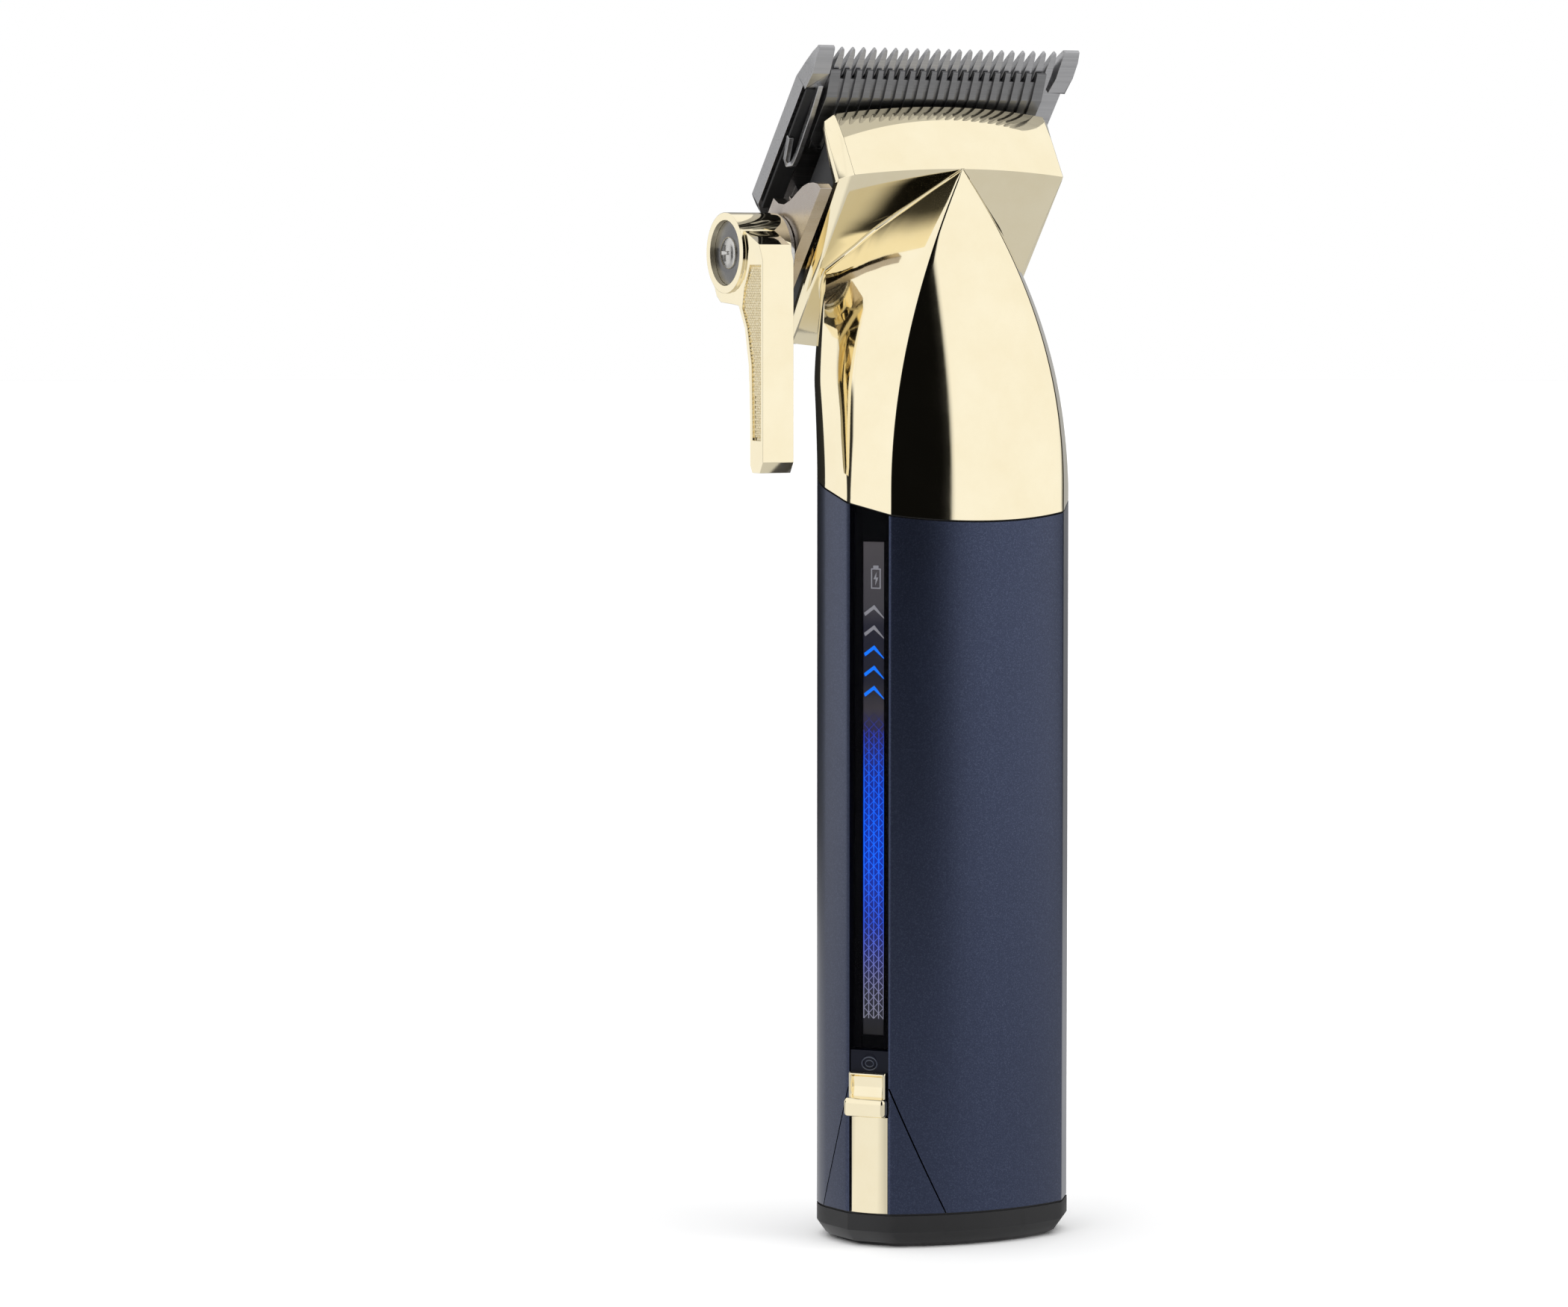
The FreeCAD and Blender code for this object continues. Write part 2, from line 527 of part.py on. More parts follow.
def motor():
    can = rod(11.0, (0, MOTOR_Y, 99), (0, 0, 1), 32).fuse(rod(4.0, (0, MOTOR_Y, 131), (0, 0, 1), 2.0))
    can = can.cut(rod(1.0 + RUN_FIT, (0, MOTOR_Y, 126), (0, 0, 1), 10))
    for sign in (-1, 1):
        can = can.cut(rod(0.95, (sign * 7, MOTOR_Y, 127), (0, 0, 1), 6))
    return can


def motor_bracket():
    plate = neck_loft([128, 134, 138], 0.90).common(box(-30, 30, -30, 30, 131.05, 133.0))
    plate = plate.cut(rod(4.1, (0, MOTOR_Y, 130), (0, 0, 1), 5))
    for sign in (-1, 1):
        plate = plate.cut(rod(1.05, (sign * 7, MOTOR_Y, 130), (0, 0, 1), 5))
    return plate


def motor_screws():
    screws = []
    for sign in (-1, 1):
        x = sign * 7
        head = rod(1.9, (x, MOTOR_Y, 133.05), (0, 0, 1), 1.2)
        shank = rod(0.9, (x, MOTOR_Y, 128), (0, 0, 1), 5.05)
        slot = box(x - 2, x + 2, MOTOR_Y - 0.25, MOTOR_Y + 0.25, 133.8, 135)
        screws.append(head.fuse(shank).cut(slot))
    return Part.makeCompound(screws)


def motor_shaft():
    return rod(1.0, (0, MOTOR_Y, 126.5), (0, 0, 1), 20.5)


def drive_eccentric():
    hub = rod(2.6, (0, MOTOR_Y, 145.5), (0, 0, 1), 5.0).cut(rod(1.0, (0, MOTOR_Y, 145.5), (0, 0, 1), 1.5))
    pin_y = MOTOR_Y + math.sqrt(ECC ** 2 - CUT_REST ** 2)
    return hub.fuse(rod(ECC_PIN_R, (CUT_REST, pin_y, 150.5), (0, 0, 1), 6.0))


def motor_leads():
    return Part.makeCompound([rod(0.6, (x, 4.0, 93.6), (0, 0, 1), 5.3) for x in (-2.5, 2.5)])


NODES = {
    "base_cap": base_cap, "charging_socket": charging_socket, "charging_pin": charging_pin,
    "cap_screws": cap_screws, "body_shell": body_shell, "lower_side_panel": lower_side_panel,
    "seam_gasket": seam_gasket, "head_housing": head_housing, "blade_frame": blade_frame,
    "rear_cover": rear_cover, "pivot_bush": pivot_bush, "light_window": light_window,
    "light_panel": light_panel, "led_board": led_board, "switch_deck": switch_deck,
    "slider_trim": slider_trim, "slide_switch": slide_switch, "battery": battery,
    "battery_holder": battery_holder, "main_board": main_board, "motor": motor,
    "motor_bracket": motor_bracket, "motor_screws": motor_screws, "motor_leads": motor_leads,
    "motor_shaft": motor_shaft, "drive_eccentric": drive_eccentric, "moving_blade": moving_blade,
    "cutter_guide": cutter_guide, "cutter_yoke": cutter_yoke, "fixed_blade": fixed_blade,
    "blade_carriage": blade_carriage, "blade_screws": blade_screws, "tension_spring": tension_spring,
    "taper_lever": taper_lever, "lever_cam": lever_cam, "lever_screw": lever_screw,
    "power_slider": power_slider,
}

os.makedirs("parts", exist_ok=True)
for name, make in NODES.items():
    save(name, make())
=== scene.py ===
"""Looks for the cordless hair clipper: refined shells, ground blades, lit strip, finishes and studio.

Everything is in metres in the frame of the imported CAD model. -Y is the front, -X the lever side, +Z up.
Shapes are worked out in millimetres and scaled by MM where their points are made.
"""
import json
import math

import bmesh
import bpy
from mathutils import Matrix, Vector

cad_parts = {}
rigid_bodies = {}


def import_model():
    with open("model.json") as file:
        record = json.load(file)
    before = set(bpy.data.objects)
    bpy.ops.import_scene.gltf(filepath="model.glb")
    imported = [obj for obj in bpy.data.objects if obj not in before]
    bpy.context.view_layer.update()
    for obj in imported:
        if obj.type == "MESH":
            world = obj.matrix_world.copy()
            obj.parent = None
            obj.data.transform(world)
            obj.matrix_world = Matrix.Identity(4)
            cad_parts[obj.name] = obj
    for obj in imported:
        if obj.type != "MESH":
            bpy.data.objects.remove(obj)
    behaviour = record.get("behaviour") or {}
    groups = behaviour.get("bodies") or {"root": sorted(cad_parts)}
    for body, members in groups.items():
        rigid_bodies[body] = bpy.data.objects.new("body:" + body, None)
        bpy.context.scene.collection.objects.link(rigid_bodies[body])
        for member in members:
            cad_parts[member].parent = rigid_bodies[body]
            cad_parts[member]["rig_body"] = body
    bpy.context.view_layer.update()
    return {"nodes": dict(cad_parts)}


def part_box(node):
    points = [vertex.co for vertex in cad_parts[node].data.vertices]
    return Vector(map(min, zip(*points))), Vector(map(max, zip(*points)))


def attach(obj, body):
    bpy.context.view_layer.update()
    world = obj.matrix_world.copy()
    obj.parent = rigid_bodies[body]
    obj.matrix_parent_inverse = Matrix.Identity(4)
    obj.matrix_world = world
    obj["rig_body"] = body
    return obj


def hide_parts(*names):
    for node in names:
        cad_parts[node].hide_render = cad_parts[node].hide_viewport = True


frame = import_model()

MM = 0.001
NODES = frame["nodes"]

# ---- design dimensions, in millimetres, as the CAD part has them ----
CREASE_X, CREASE_Y, FRONT_R = 14.7, -11.6, 34.4
FACET_W, FACET_DEG = 6.86, 53.3
BODY_W, BODY_D = 38.4, 29.8
PART_Z, PART_DEG = 107.5, 17.0
ARCH_Z0, PEAK_Y, PEAK_Z = 112.0, -6.8, 159.4
SHOULDER_Z0, SHOULDER_DROP, SHOULDER_RISE = 134.0, 3.8, 12.0
WAIST_Z0, WAIST_SLOPE, WAIST_EASE = 127.0, 0.21, 5.0
FACET_TWIST, FACET_GROWTH = 6.8, 7.5
HEAD_TILT = 40.0
HEAD_LEN, SKIN = 35.2, 1.0
SEAM, CAP_H = 0.3, 5.0

FACET_DIR = (math.cos(math.radians(FACET_DEG)), math.sin(math.radians(FACET_DEG)))
TILT_SIN, TILT_COS = math.sin(math.radians(HEAD_TILT)), math.cos(math.radians(HEAD_TILT))


# ---- places ----------------------------------------------
def on_head(x, q, p):
    """A point of the leaning head: x across, q depth behind its face, p height above its ridge."""
    return Vector((x, PEAK_Y + q * TILT_COS - p * TILT_SIN, PEAK_Z + q * TILT_SIN + p * TILT_COS)) * MM


def on_facet(x, depth, z):
    """A point of the strip's facet: x across towards the front, depth into the grip, z up."""
    mid_x = -CREASE_X - FACET_W / 2 * FACET_DIR[0]
    mid_y = CREASE_Y + FACET_W / 2 * FACET_DIR[1]
    return Vector((mid_x + x * FACET_DIR[0] + depth * FACET_DIR[1],
                   mid_y - x * FACET_DIR[1] + depth * FACET_DIR[0], z)) * MM


# ---- mesh helpers ----------------------------------------
FLAT_DEG = 0.6   # CAD faces that turn by less than this are joined


def solid_of(bm, name):
    """A plain mesh object from a bmesh, which is used up."""
    bmesh.ops.recalc_face_normals(bm, faces=bm.faces)
    mesh = bpy.data.meshes.new(name)
    bm.to_mesh(mesh)
    bm.free()
    obj = bpy.data.objects.new(name, mesh)
    bpy.context.scene.collection.objects.link(obj)
    return obj


def round_edges(obj, width, segments, angle=30.0):
    """A bevel in millimetres on the edges that turn by more than an angle."""
    mod = obj.modifiers.new("edges", "BEVEL")
    mod.width = width * MM
    mod.segments = segments
    mod.limit_method = "ANGLE"
    mod.angle_limit = math.radians(angle)
    return mod


def finish_mesh(bm, name, material, angle=30.0, bevel=0.0):
    """Turns a bmesh into a smooth-shaded object with crisp edges, and rounds the edges if asked."""
    bmesh.ops.remove_doubles(bm, verts=bm.verts, dist=1e-7)
    obj = solid_of(bm, name)
    mesh = obj.data
    mesh.polygons.foreach_set("use_smooth", [True] * len(mesh.polygons))
    if bevel:
        round_edges(obj, bevel, 2).harden_normals = True
    mesh.set_sharp_from_angle(angle=math.radians(angle))
    mesh.materials.append(material)
    return obj


def piece(bm, name, material, body, slot, *replaced, angle=30.0, bevel=0.0):
    """A finished piece: the body it rides and the CAD nodes it stands for. The slot argument is not used."""
    obj = finish_mesh(bm, name, MATS[material], angle, bevel)
    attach(obj, body)
    if replaced:
        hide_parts(*replaced)


def cad_mesh(node):
    """A CAD node's mesh as a bmesh, with its doubled points joined."""
    bm = bmesh.new()
    bm.from_mesh(NODES[node].data)
    bmesh.ops.remove_doubles(bm, verts=bm.verts, dist=1e-6)
    return bm


def refined(node, name, material, slot, bevel):
    """A cleaned copy of a CAD node, with its edges rounded, that stands for the node."""
    bm = cad_mesh(node)
    bmesh.ops.dissolve_limit(bm, angle_limit=math.radians(FLAT_DEG), verts=bm.verts, edges=bm.edges)
    piece(bm, name, material, NODES[node]["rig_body"], slot, node, bevel=bevel)


def add_loop_grid(bm, rings):
    """Faces between successive closed rings of points."""
    rows = [[bm.verts.new(p) for p in ring] for ring in rings]
    for low, high in zip(rows, rows[1:]):
        for i in range(len(low)):
            j = (i + 1) % len(low)
            bm.faces.new((low[i], low[j], high[j], high[i]))
    return rows


# ---- materials -------------------------------------------
def fill_ramp(ramp, stops):
    """Gives a colour ramp its (position, colour) stops, in rising order."""
    first, last = ramp.elements[0], ramp.elements[1]
    first.position, last.position = stops[0][0], stops[-1][0]
    first.color, last.color = (*stops[0][1], 1), (*stops[-1][1], 1)
    for position, colour in stops[1:-1]:
        ramp.elements.new(position).color = (*colour, 1)


class NodeBuilder:
    """Adds and links the nodes of one tree."""

    def __init__(self, tree):
        self.tree = tree

    def add(self, kind, **values):
        node = self.tree.nodes.new(kind)
        for key, value in values.items():
            if key in node.inputs:
                node.inputs[key].default_value = value
            else:
                setattr(node, key, value)
        return node

    def link(self, output, target):
        self.tree.links.new(output, target)

    def ramp(self, source, stops):
        node = self.add("ShaderNodeValToRGB")
        fill_ramp(node.color_ramp, stops)
        self.link(source, node.inputs["Fac"])
        return node.outputs["Color"]

    def remap(self, source, low, high, to_low, to_high, **values):
        node = self.add("ShaderNodeMapRange", **values)
        ends = {"From Min": low, "From Max": high, "To Min": to_low, "To Max": to_high}
        for key, value in ends.items():
            node.inputs[key].default_value = value
        self.link(source, node.inputs["Value"])
        return node.outputs["Result"]

    def step(self, source, low, high):
        """A smooth rise from 0 to 1 between two values."""
        return self.remap(source, low, high, 0.0, 1.0, interpolation_type="SMOOTHSTEP")

    def math(self, operation, a, b=None):
        node = self.add("ShaderNodeMath", operation=operation)
        for socket, source in zip(node.inputs, (a, b)):
            if isinstance(source, (int, float)):
                socket.default_value = source
            elif source is not None:
                self.link(source, socket)
        return node.outputs[0]

    def around(self, vector, stops):
        """A brightness that depends on a direction's azimuth, and the direction's height."""
        split = self.add("ShaderNodeSeparateXYZ")
        self.link(vector, split.inputs[0])
        x, y, z = split.outputs
        azimuth = self.math("ARCTAN2", x, self.math("MULTIPLY", y, -1.0))
        turn = self.math("ADD", self.math("DIVIDE", azimuth, 2 * math.pi), 0.5)
        return self.ramp(turn, [(degrees / 360 + 0.5, (level,) * 3) for degrees, level in stops]), z


NOISE_SPAN = (0.3, 0.7)   # the middle of a noise, where most of its values are


class Finish(NodeBuilder):
    """A small builder for one procedural material around a Principled shader."""

    def __init__(self, name):
        self.material = bpy.data.materials.new(name)
        self.material.use_nodes = True
        super().__init__(self.material.node_tree)
        self.shader = self.tree.nodes["Principled BSDF"]
        self.coords = self.add("ShaderNodeTexCoord").outputs["Object"]

    def set(self, **values):
        """Sets the shader's own sockets; an underscore stands for a space."""
        for key, value in values.items():
            self.shader.inputs[key.replace("_", " ")].default_value = value
        return self

    def scaled(self, scale):
        mapping = self.add("ShaderNodeMapping", Scale=scale)
        self.link(self.coords, mapping.inputs["Vector"])
        return mapping.outputs["Vector"]

    def noise(self, scale, detail=3.0, roughness=0.6, stretch=None):
        node = self.add("ShaderNodeTexNoise", Scale=scale, Detail=detail, Roughness=roughness)
        self.link(self.scaled(stretch) if stretch else self.coords, node.inputs["Vector"])
        return node.outputs["Fac"]

    def vary(self, noise, low, high):
        """A level that goes from low to high over the middle of a noise."""
        return self.remap(noise, *NOISE_SPAN, low, high)

    def blend(self, noise, dark, light):
        """A colour that goes from dark to light over the middle of a noise."""
        return self.ramp(noise, list(zip(NOISE_SPAN, (dark, light))))

    def bump(self, source, strength, distance_mm):
        node = self.add("ShaderNodeBump", Strength=strength, Distance=distance_mm * MM)
        self.link(source, node.inputs["Height"])
        return node.outputs["Normal"]

    def use(self, **sources):
        """Links outputs to the shader's sockets."""
        for key, source in sources.items():
            self.link(source, self.shader.inputs[key.replace("_", " ")])
        return self


def gold_finish():
    """Polished pale gold plating with faint polishing haze."""
    f = Finish("pale_gold")
    f.set(Metallic=1.0)
    haze = f.noise(140, 4)
    f.use(Base_Color=f.blend(haze, (0.925, 0.825, 0.585), (0.955, 0.865, 0.635)),
          Roughness=f.vary(haze, 0.035, 0.075),
          Normal=f.bump(f.noise(900, 2), 0.02, 0.02))
    return f.material


def knurl_finish():
    """The same gold over a cast texture: less polished, with painted shade that darkens the grooves."""
    f = Finish("textured_gold")
    f.set(Metallic=1.0)
    grain = f.noise(2600, 3)
    # Painted shade: the colour darkens with the same noise that sinks the bump, so the grooves look shaded.
    f.use(Base_Color=f.blend(grain, (0.72, 0.60, 0.36), (0.95, 0.86, 0.63)),
          Roughness=f.vary(grain, 0.14, 0.26), Normal=f.bump(grain, 0.25, 0.03))
    return f.material


def navy_finish():
    """Satin navy metallic lacquer: fine bright flakes in a dark base, under a satin clear coat."""
    f = Finish("navy_metallic")
    f.set(Metallic=1.0, Coat_Weight=0.75, Coat_Roughness=0.32)
    flakes = f.add("ShaderNodeTexVoronoi", Scale=7000.0)
    f.link(f.coords, flakes.inputs["Vector"])
    tones = [(0.0, (0.018, 0.028, 0.070)), (0.6, (0.027, 0.040, 0.092)), (1.0, (0.056, 0.074, 0.140))]
    f.use(Base_Color=f.ramp(flakes.outputs["Color"], tones),
          Roughness=f.vary(f.noise(60, 3), 0.31, 0.36),
          Normal=f.bump(f.noise(5200, 2), 0.07, 0.02))
    return f.material


def plastic_finish(name, dark, light, rough=(0.45, 0.6), grain=2600, depth=0.15, specular=0.35):
    """Moulded plastic with a fine spark-eroded grain."""
    f = Finish(name)
    f.set(Specular_IOR_Level=specular)
    tone = f.noise(90, 4)
    f.use(Base_Color=f.blend(tone, dark, light),
          Roughness=f.vary(tone, *rough),
          Normal=f.bump(f.noise(grain, 3), depth, 0.03))
    return f.material


def steel_finish(name, dark, light, rough=(0.25, 0.4), stretch=(40, 3000, 3000), metallic=1.0, depth=0.1):
    """Ground steel: fine parallel grinding lines, with slight colour variation."""
    f = Finish(name)
    f.set(Metallic=metallic)
    lines = f.noise(1.0, 4, 0.7, stretch)
    f.use(Base_Color=f.blend(lines, dark, light),
          Roughness=f.vary(lines, *rough),
          Normal=f.bump(lines, depth, 0.01))
    return f.material


def smoked_finish():
    """Dark see-through plastic over the strip."""
    f = Finish("smoked_window")
    f.set(Base_Color=(0.001, 0.001, 0.002, 1), Alpha=0.3, Specular_IOR_Level=0.05)
    f.use(Roughness=f.vary(f.noise(200, 2), 0.03, 0.07))
    return f.material


def lit_finish(name, colour, strength):
    """An evenly glowing mark: for the lit arrows the glow is the strip's backlight, for the grey print it is
    a painted glow.
    """
    f = Finish(name)
    f.set(Base_Color=(*colour, 1), Emission_Color=(*colour, 1), Emission_Strength=strength)
    f.use(Roughness=f.vary(f.noise(500, 2), 0.4, 0.5))
    return f.material


GLOW_RANGE = (30, 110)   # heights between which a lit print's colours are given


def glow_finish(name, base, along):
    """A print lit from behind: its glow follows the height on the grip."""
    f = Finish(name)
    f.set(Base_Color=(*base, 1), Emission_Strength=1.0)
    split = f.add("ShaderNodeSeparateXYZ")
    f.link(f.coords, split.inputs[0])
    low, high = GLOW_RANGE
    height = f.remap(split.outputs["Z"], low * MM, high * MM, 0.0, 1.0)
    stops = [((z - low) / (high - low), colour) for z, colour in along]
    f.use(Emission_Color=f.ramp(height, stops),
          Roughness=f.vary(f.noise(500, 2), 0.4, 0.5))
    return f.material


def wrap_finish():
    """Shrink wrap on the cell, with faint rings."""
    f = Finish("cell_wrap")
    rings = f.noise(1.0, 2, 0.5, (10, 10, 900))
    f.use(Base_Color=f.ramp(rings, [(0.35, (0.02, 0.12, 0.30)), (0.65, (0.03, 0.16, 0.38))]),
          Roughness=f.vary(rings, 0.25, 0.35), Normal=f.bump(rings, 0.1, 0.02))
    return f.material


def board_finish():
    """Green solder mask with copper showing faintly through."""
    f = Finish("board_green")
    tracks = f.add("ShaderNodeTexBrick", Scale=420.0)
    f.link(f.coords, tracks.inputs["Vector"])
    f.use(Base_Color=f.ramp(tracks.outputs["Fac"], [(0.2, (0.005, 0.07, 0.03)), (0.8, (0.02, 0.13, 0.05))]),
          Roughness=f.vary(f.noise(300, 2), 0.25, 0.4))
    return f.material


MATS = {
    "gold": gold_finish(),
    "knurl": knurl_finish(),
    "navy": navy_finish(),
    "black": plastic_finish("matt_black", (0.012, 0.012, 0.013), (0.018, 0.018, 0.019)),
    "dark": plastic_finish("satin_dark", (0.016, 0.016, 0.018), (0.026, 0.026, 0.028), (0.3, 0.42)),
    "comb": steel_finish("comb_steel", (0.42, 0.42, 0.43), (0.55, 0.55, 0.56)),
    "cutter": steel_finish("cutter_steel", (0.22, 0.22, 0.225), (0.30, 0.30, 0.305), (0.3, 0.45)),
    "warm_steel": steel_finish("warm_steel", (0.54, 0.48, 0.43), (0.64, 0.58, 0.53), (0.24, 0.34),
                               (40, 400, 400)),
    "steel": steel_finish("bright_steel", (0.52, 0.51, 0.49), (0.66, 0.65, 0.63), (0.2, 0.32)),
    "smoked": smoked_finish(),
    "gloss_black": plastic_finish("gloss_black", (0.002, 0.002, 0.003), (0.004, 0.004, 0.005), (0.3, 0.4),
                                  400, 0.0, 0.03),
    "mark": plastic_finish("raised_mark", (0.020, 0.026, 0.045), (0.028, 0.035, 0.058), (0.22, 0.3),
                           900, 0.02, 0.6),
    "deck": plastic_finish("dark_deck", (0.002, 0.003, 0.008), (0.003, 0.004, 0.011), (0.3, 0.4),
                           1800, 0.05, 0.15),
    "brass": steel_finish("brass", (0.52, 0.36, 0.14), (0.66, 0.48, 0.2), (0.2, 0.3)),
    "lead": plastic_finish("lead_red", (0.35, 0.01, 0.01), (0.45, 0.02, 0.02), (0.35, 0.45)),
    "wrap": wrap_finish(),
    "board": board_finish(),
    "lit": lit_finish("lit_blue", (0.0, 0.17, 1.0), 1.7),
    # Painted glow: the grey print is not lit, yet it glows grey at strength 0.9.
    "print": lit_finish("grey_print_painted_glow", (0.34, 0.34, 0.38), 0.9),
    "lattice": glow_finish("lattice_print", (0.02, 0.02, 0.03),
                           [(33, (0.50, 0.50, 0.60)), (40, (0.36, 0.38, 0.80)), (48, (0.05, 0.20, 1.6)),
                            (58, (0.0, 0.32, 2.4)), (70, (0.0, 0.24, 2.0)), (76, (0.03, 0.08, 0.9)),
                            (79, (0.03, 0.03, 0.10))]),
    "film": glow_finish("diffuser_film", (0.012, 0.012, 0.014),
                        [(32, (0.02, 0.02, 0.022)), (38, (0.03, 0.03, 0.06)), (47, (0.02, 0.03, 0.30)),
                         (58, (0.0, 0.055, 0.85)), (68, (0.0, 0.04, 0.65)), (76, (0.03, 0.025, 0.14)),
                         (80, (0.07, 0.062, 0.075)), (84, (0.015, 0.015, 0.035)), (92, (0.02, 0.02, 0.04)),
                         (95, (0.09, 0.085, 0.10)), (104, (0.12, 0.11, 0.12))]),
}


# ---- the grip's and neck's outline -----------------------
def rounded_corner(before, corner, after, reach, steps):
    """Points of a small curve that replaces a corner, tangent to both of its sides."""
    start = corner + (before - corner).normalized() * reach
    finish = corner + (after - corner).normalized() * reach
    spots = [i / steps for i in range(steps + 1)]
    return [start.lerp(corner, t).lerp(corner.lerp(finish, t), t) for t in spots]


SIDE_FLAT, BACK_ROUND, KNEE_SOFT = 6.0, 0.78, 3.4


def half_outline(z, reach):
    """One side of the outline at height z, from the middle of the front to the middle of the back."""
    h = max(0.0, (z - ARCH_Z0) / (PEAK_Z - ARCH_Z0))
    cx, cy = CREASE_X * (1 - h ** 2), CREASE_Y + (PEAK_Y - CREASE_Y) * h ** 2.5
    rise = max(0.0, z - WAIST_Z0)
    waist = WAIST_SLOPE * rise ** 2 / (rise + WAIST_EASE)
    shoulder = SHOULDER_DROP * (max(0.0, z - SHOULDER_Z0) / SHOULDER_RISE) ** 2
    half = BODY_W / 2 - max(waist, shoulder)
    turn = math.radians(FACET_DEG + FACET_TWIST * h)
    facet = min(FACET_W + FACET_GROWTH * h ** 1.6, (half - 0.3 - cx) / math.cos(turn))
    corner = Vector((cx, cy))
    knee = Vector((cx + facet * math.cos(turn), cy + facet * math.sin(turn)))
    side_y = max(0.0, knee.y + SIDE_FLAT)
    side = Vector((half, side_y))
    front_y = cy - (FRONT_R - math.sqrt(FRONT_R ** 2 - cx ** 2))
    depth = min(BODY_D / 2 - side_y, BACK_ROUND * half)

    def front(x):
        return Vector((x, front_y + FRONT_R - math.sqrt(FRONT_R ** 2 - x ** 2)))

    reach = min(reach, 0.3 * cx + 0.001)
    points = [front((cx - reach) * i / 12) for i in range(12)]
    points += rounded_corner(front(cx - reach), corner, knee, reach, 4)
    softer = KNEE_SOFT * (1 + min(1.0, max(0.0, (z - ARCH_Z0) / 8)))
    knee_reach = min(softer * reach, 0.45 * (side - knee).length)
    flat_end = knee + (corner - knee).normalized() * knee_reach
    points += [corner.lerp(flat_end, i / 6) for i in range(1, 6)]
    points += rounded_corner(corner, knee, side, knee_reach, 4)
    points += [Vector((half * math.cos(a), side_y + depth * math.sin(a)))
               for a in (math.pi / 2 * i / 28 for i in range(29))]
    return points


def outline(z, reach=0.25):
    """The closed outline, from the middle of the front round by the right."""
    right = half_outline(z, reach)
    left = [Vector((-p.x, p.y)) for p in reversed(right[1:-1])]
    return right + left


def parting_z(y):
    return PART_Z + (y + BODY_D / 2) * math.tan(math.radians(PART_DEG))


def baked(obj):
    """The object's mesh with its modifiers applied, as a bmesh; the object goes."""
    bpy.context.view_layer.update()
    mesh = bpy.data.meshes.new_from_object(obj.evaluated_get(bpy.context.evaluated_depsgraph_get()))
    bm = bmesh.new()
    bm.from_mesh(mesh)
    old = obj.data
    bpy.data.objects.remove(obj)
    bpy.data.meshes.remove(old)
    bpy.data.meshes.remove(mesh)
    return bm


def combined(bm, tool_bm, operation):
    """A boolean of two closed bmeshes: the first is copied, the second is used up."""
    base = solid_of(bm.copy(), "base")
    tool = solid_of(tool_bm, "tool")
    mod = base.modifiers.new("cut", "BOOLEAN")
    mod.operation = operation
    mod.solver = "EXACT"
    mod.object = tool
    result = baked(base)
    old = tool.data
    bpy.data.objects.remove(tool)
    bpy.data.meshes.remove(old)
    return result


def prism(points_at_ends):
    """A closed prism between two matching rings of points."""
    bm = bmesh.new()
    rows = add_loop_grid(bm, points_at_ends)
    bm.faces.new(list(reversed(rows[0])))
    bm.faces.new(rows[-1])
    bmesh.ops.recalc_face_normals(bm, faces=bm.faces)
    return bm


def facet_block(x0, x1, d0, d1, z0, z1):
    """A block in the strip's facet frame."""
    ring = [(x0, d0), (x1, d0), (x1, d1), (x0, d1)]
    return prism([[on_facet(x, d, z) for x, d in ring] for z in (z0, z1)])


def merge(*parts):
    """Several bmeshes as one; the parts are used up."""
    whole = bmesh.new()
    for part in parts:
        mesh = bpy.data.meshes.new("part")
        part.to_mesh(mesh)
        part.free()
        whole.from_mesh(mesh)
        bpy.data.meshes.remove(mesh)
    return whole


# ---- grip ------------------------------------------------
GRIP_IN = 0.90
STRIP_HALF = 3.2
PANEL_TOP_Z, PANEL_TOP_HALF, PANEL_FOOT_LEFT, PANEL_FOOT_RIGHT = 23.8, 3.43, 10.9, 12.4
PANEL_GAP = 0.16
FOOT_SEAL = (0.985, 0.93, 0.35)   # outer and inner share of the outline, and reach past the seam


def grip_tube():
    """The grip's wall, from the base cap to the slanting parting line."""
    outer = outline(0)
    inner = [p * GRIP_IN for p in outer]

    def ring(points, top):
        return [Vector((p.x, p.y, parting_z(p.y) - SEAM / 2 if top else CAP_H + SEAM / 2)) * MM
                for p in points]

    bm = bmesh.new()
    rings = [ring(outer, False), ring(outer, True), ring(inner, True), ring(inner, False)]
    add_loop_grid(bm, rings + rings[:1])
    bmesh.ops.remove_doubles(bm, verts=bm.verts, dist=1e-7)
    channel = facet_block(-STRIP_HALF, STRIP_HALF, -3, 4, -1, 130)
    return combined(bm, channel, "DIFFERENCE")


def panel_wedge(grow):
    """The tapering panel's space around the foot of the strip."""
    top, left, right = PANEL_TOP_HALF + grow, PANEL_FOOT_LEFT + grow, PANEL_FOOT_RIGHT + grow
    ring = [(-top, PANEL_TOP_Z + grow), (top, PANEL_TOP_Z + grow), (right, 0), (-left, 0)]
    return prism([[on_facet(x, d, z) for x, z in ring] for d in (-6, 8)])


def grip():
    """The grip's shell, and the side panel set into it with a fine seam."""
    tube = grip_tube()
    for name, node, operation, grow in (("grip_shell", "body_shell", "DIFFERENCE", 0.0),
                                        ("side_panel", "lower_side_panel", "INTERSECT", -PANEL_GAP)):
        part = combined(tube, panel_wedge(grow), operation)
        piece(part, name, "navy", "grip", "navy_metal", node, bevel=0.1)
    tube.free()


def foot_seal():
    """A black ring just inside the seam between the base cap and the grip."""
    wide, narrow, reach = FOOT_SEAL
    rings = [[Vector((p.x * k, p.y * k, z)) * MM for p in outline(0)]
             for k, z in ((wide, CAP_H - reach), (wide, CAP_H + SEAM + reach),
                          (narrow, CAP_H + SEAM + reach), (narrow, CAP_H - reach))]
    bm = bmesh.new()
    add_loop_grid(bm, rings + rings[:1])
    piece(bm, "foot_seal", "black", "grip", "black_plastic")


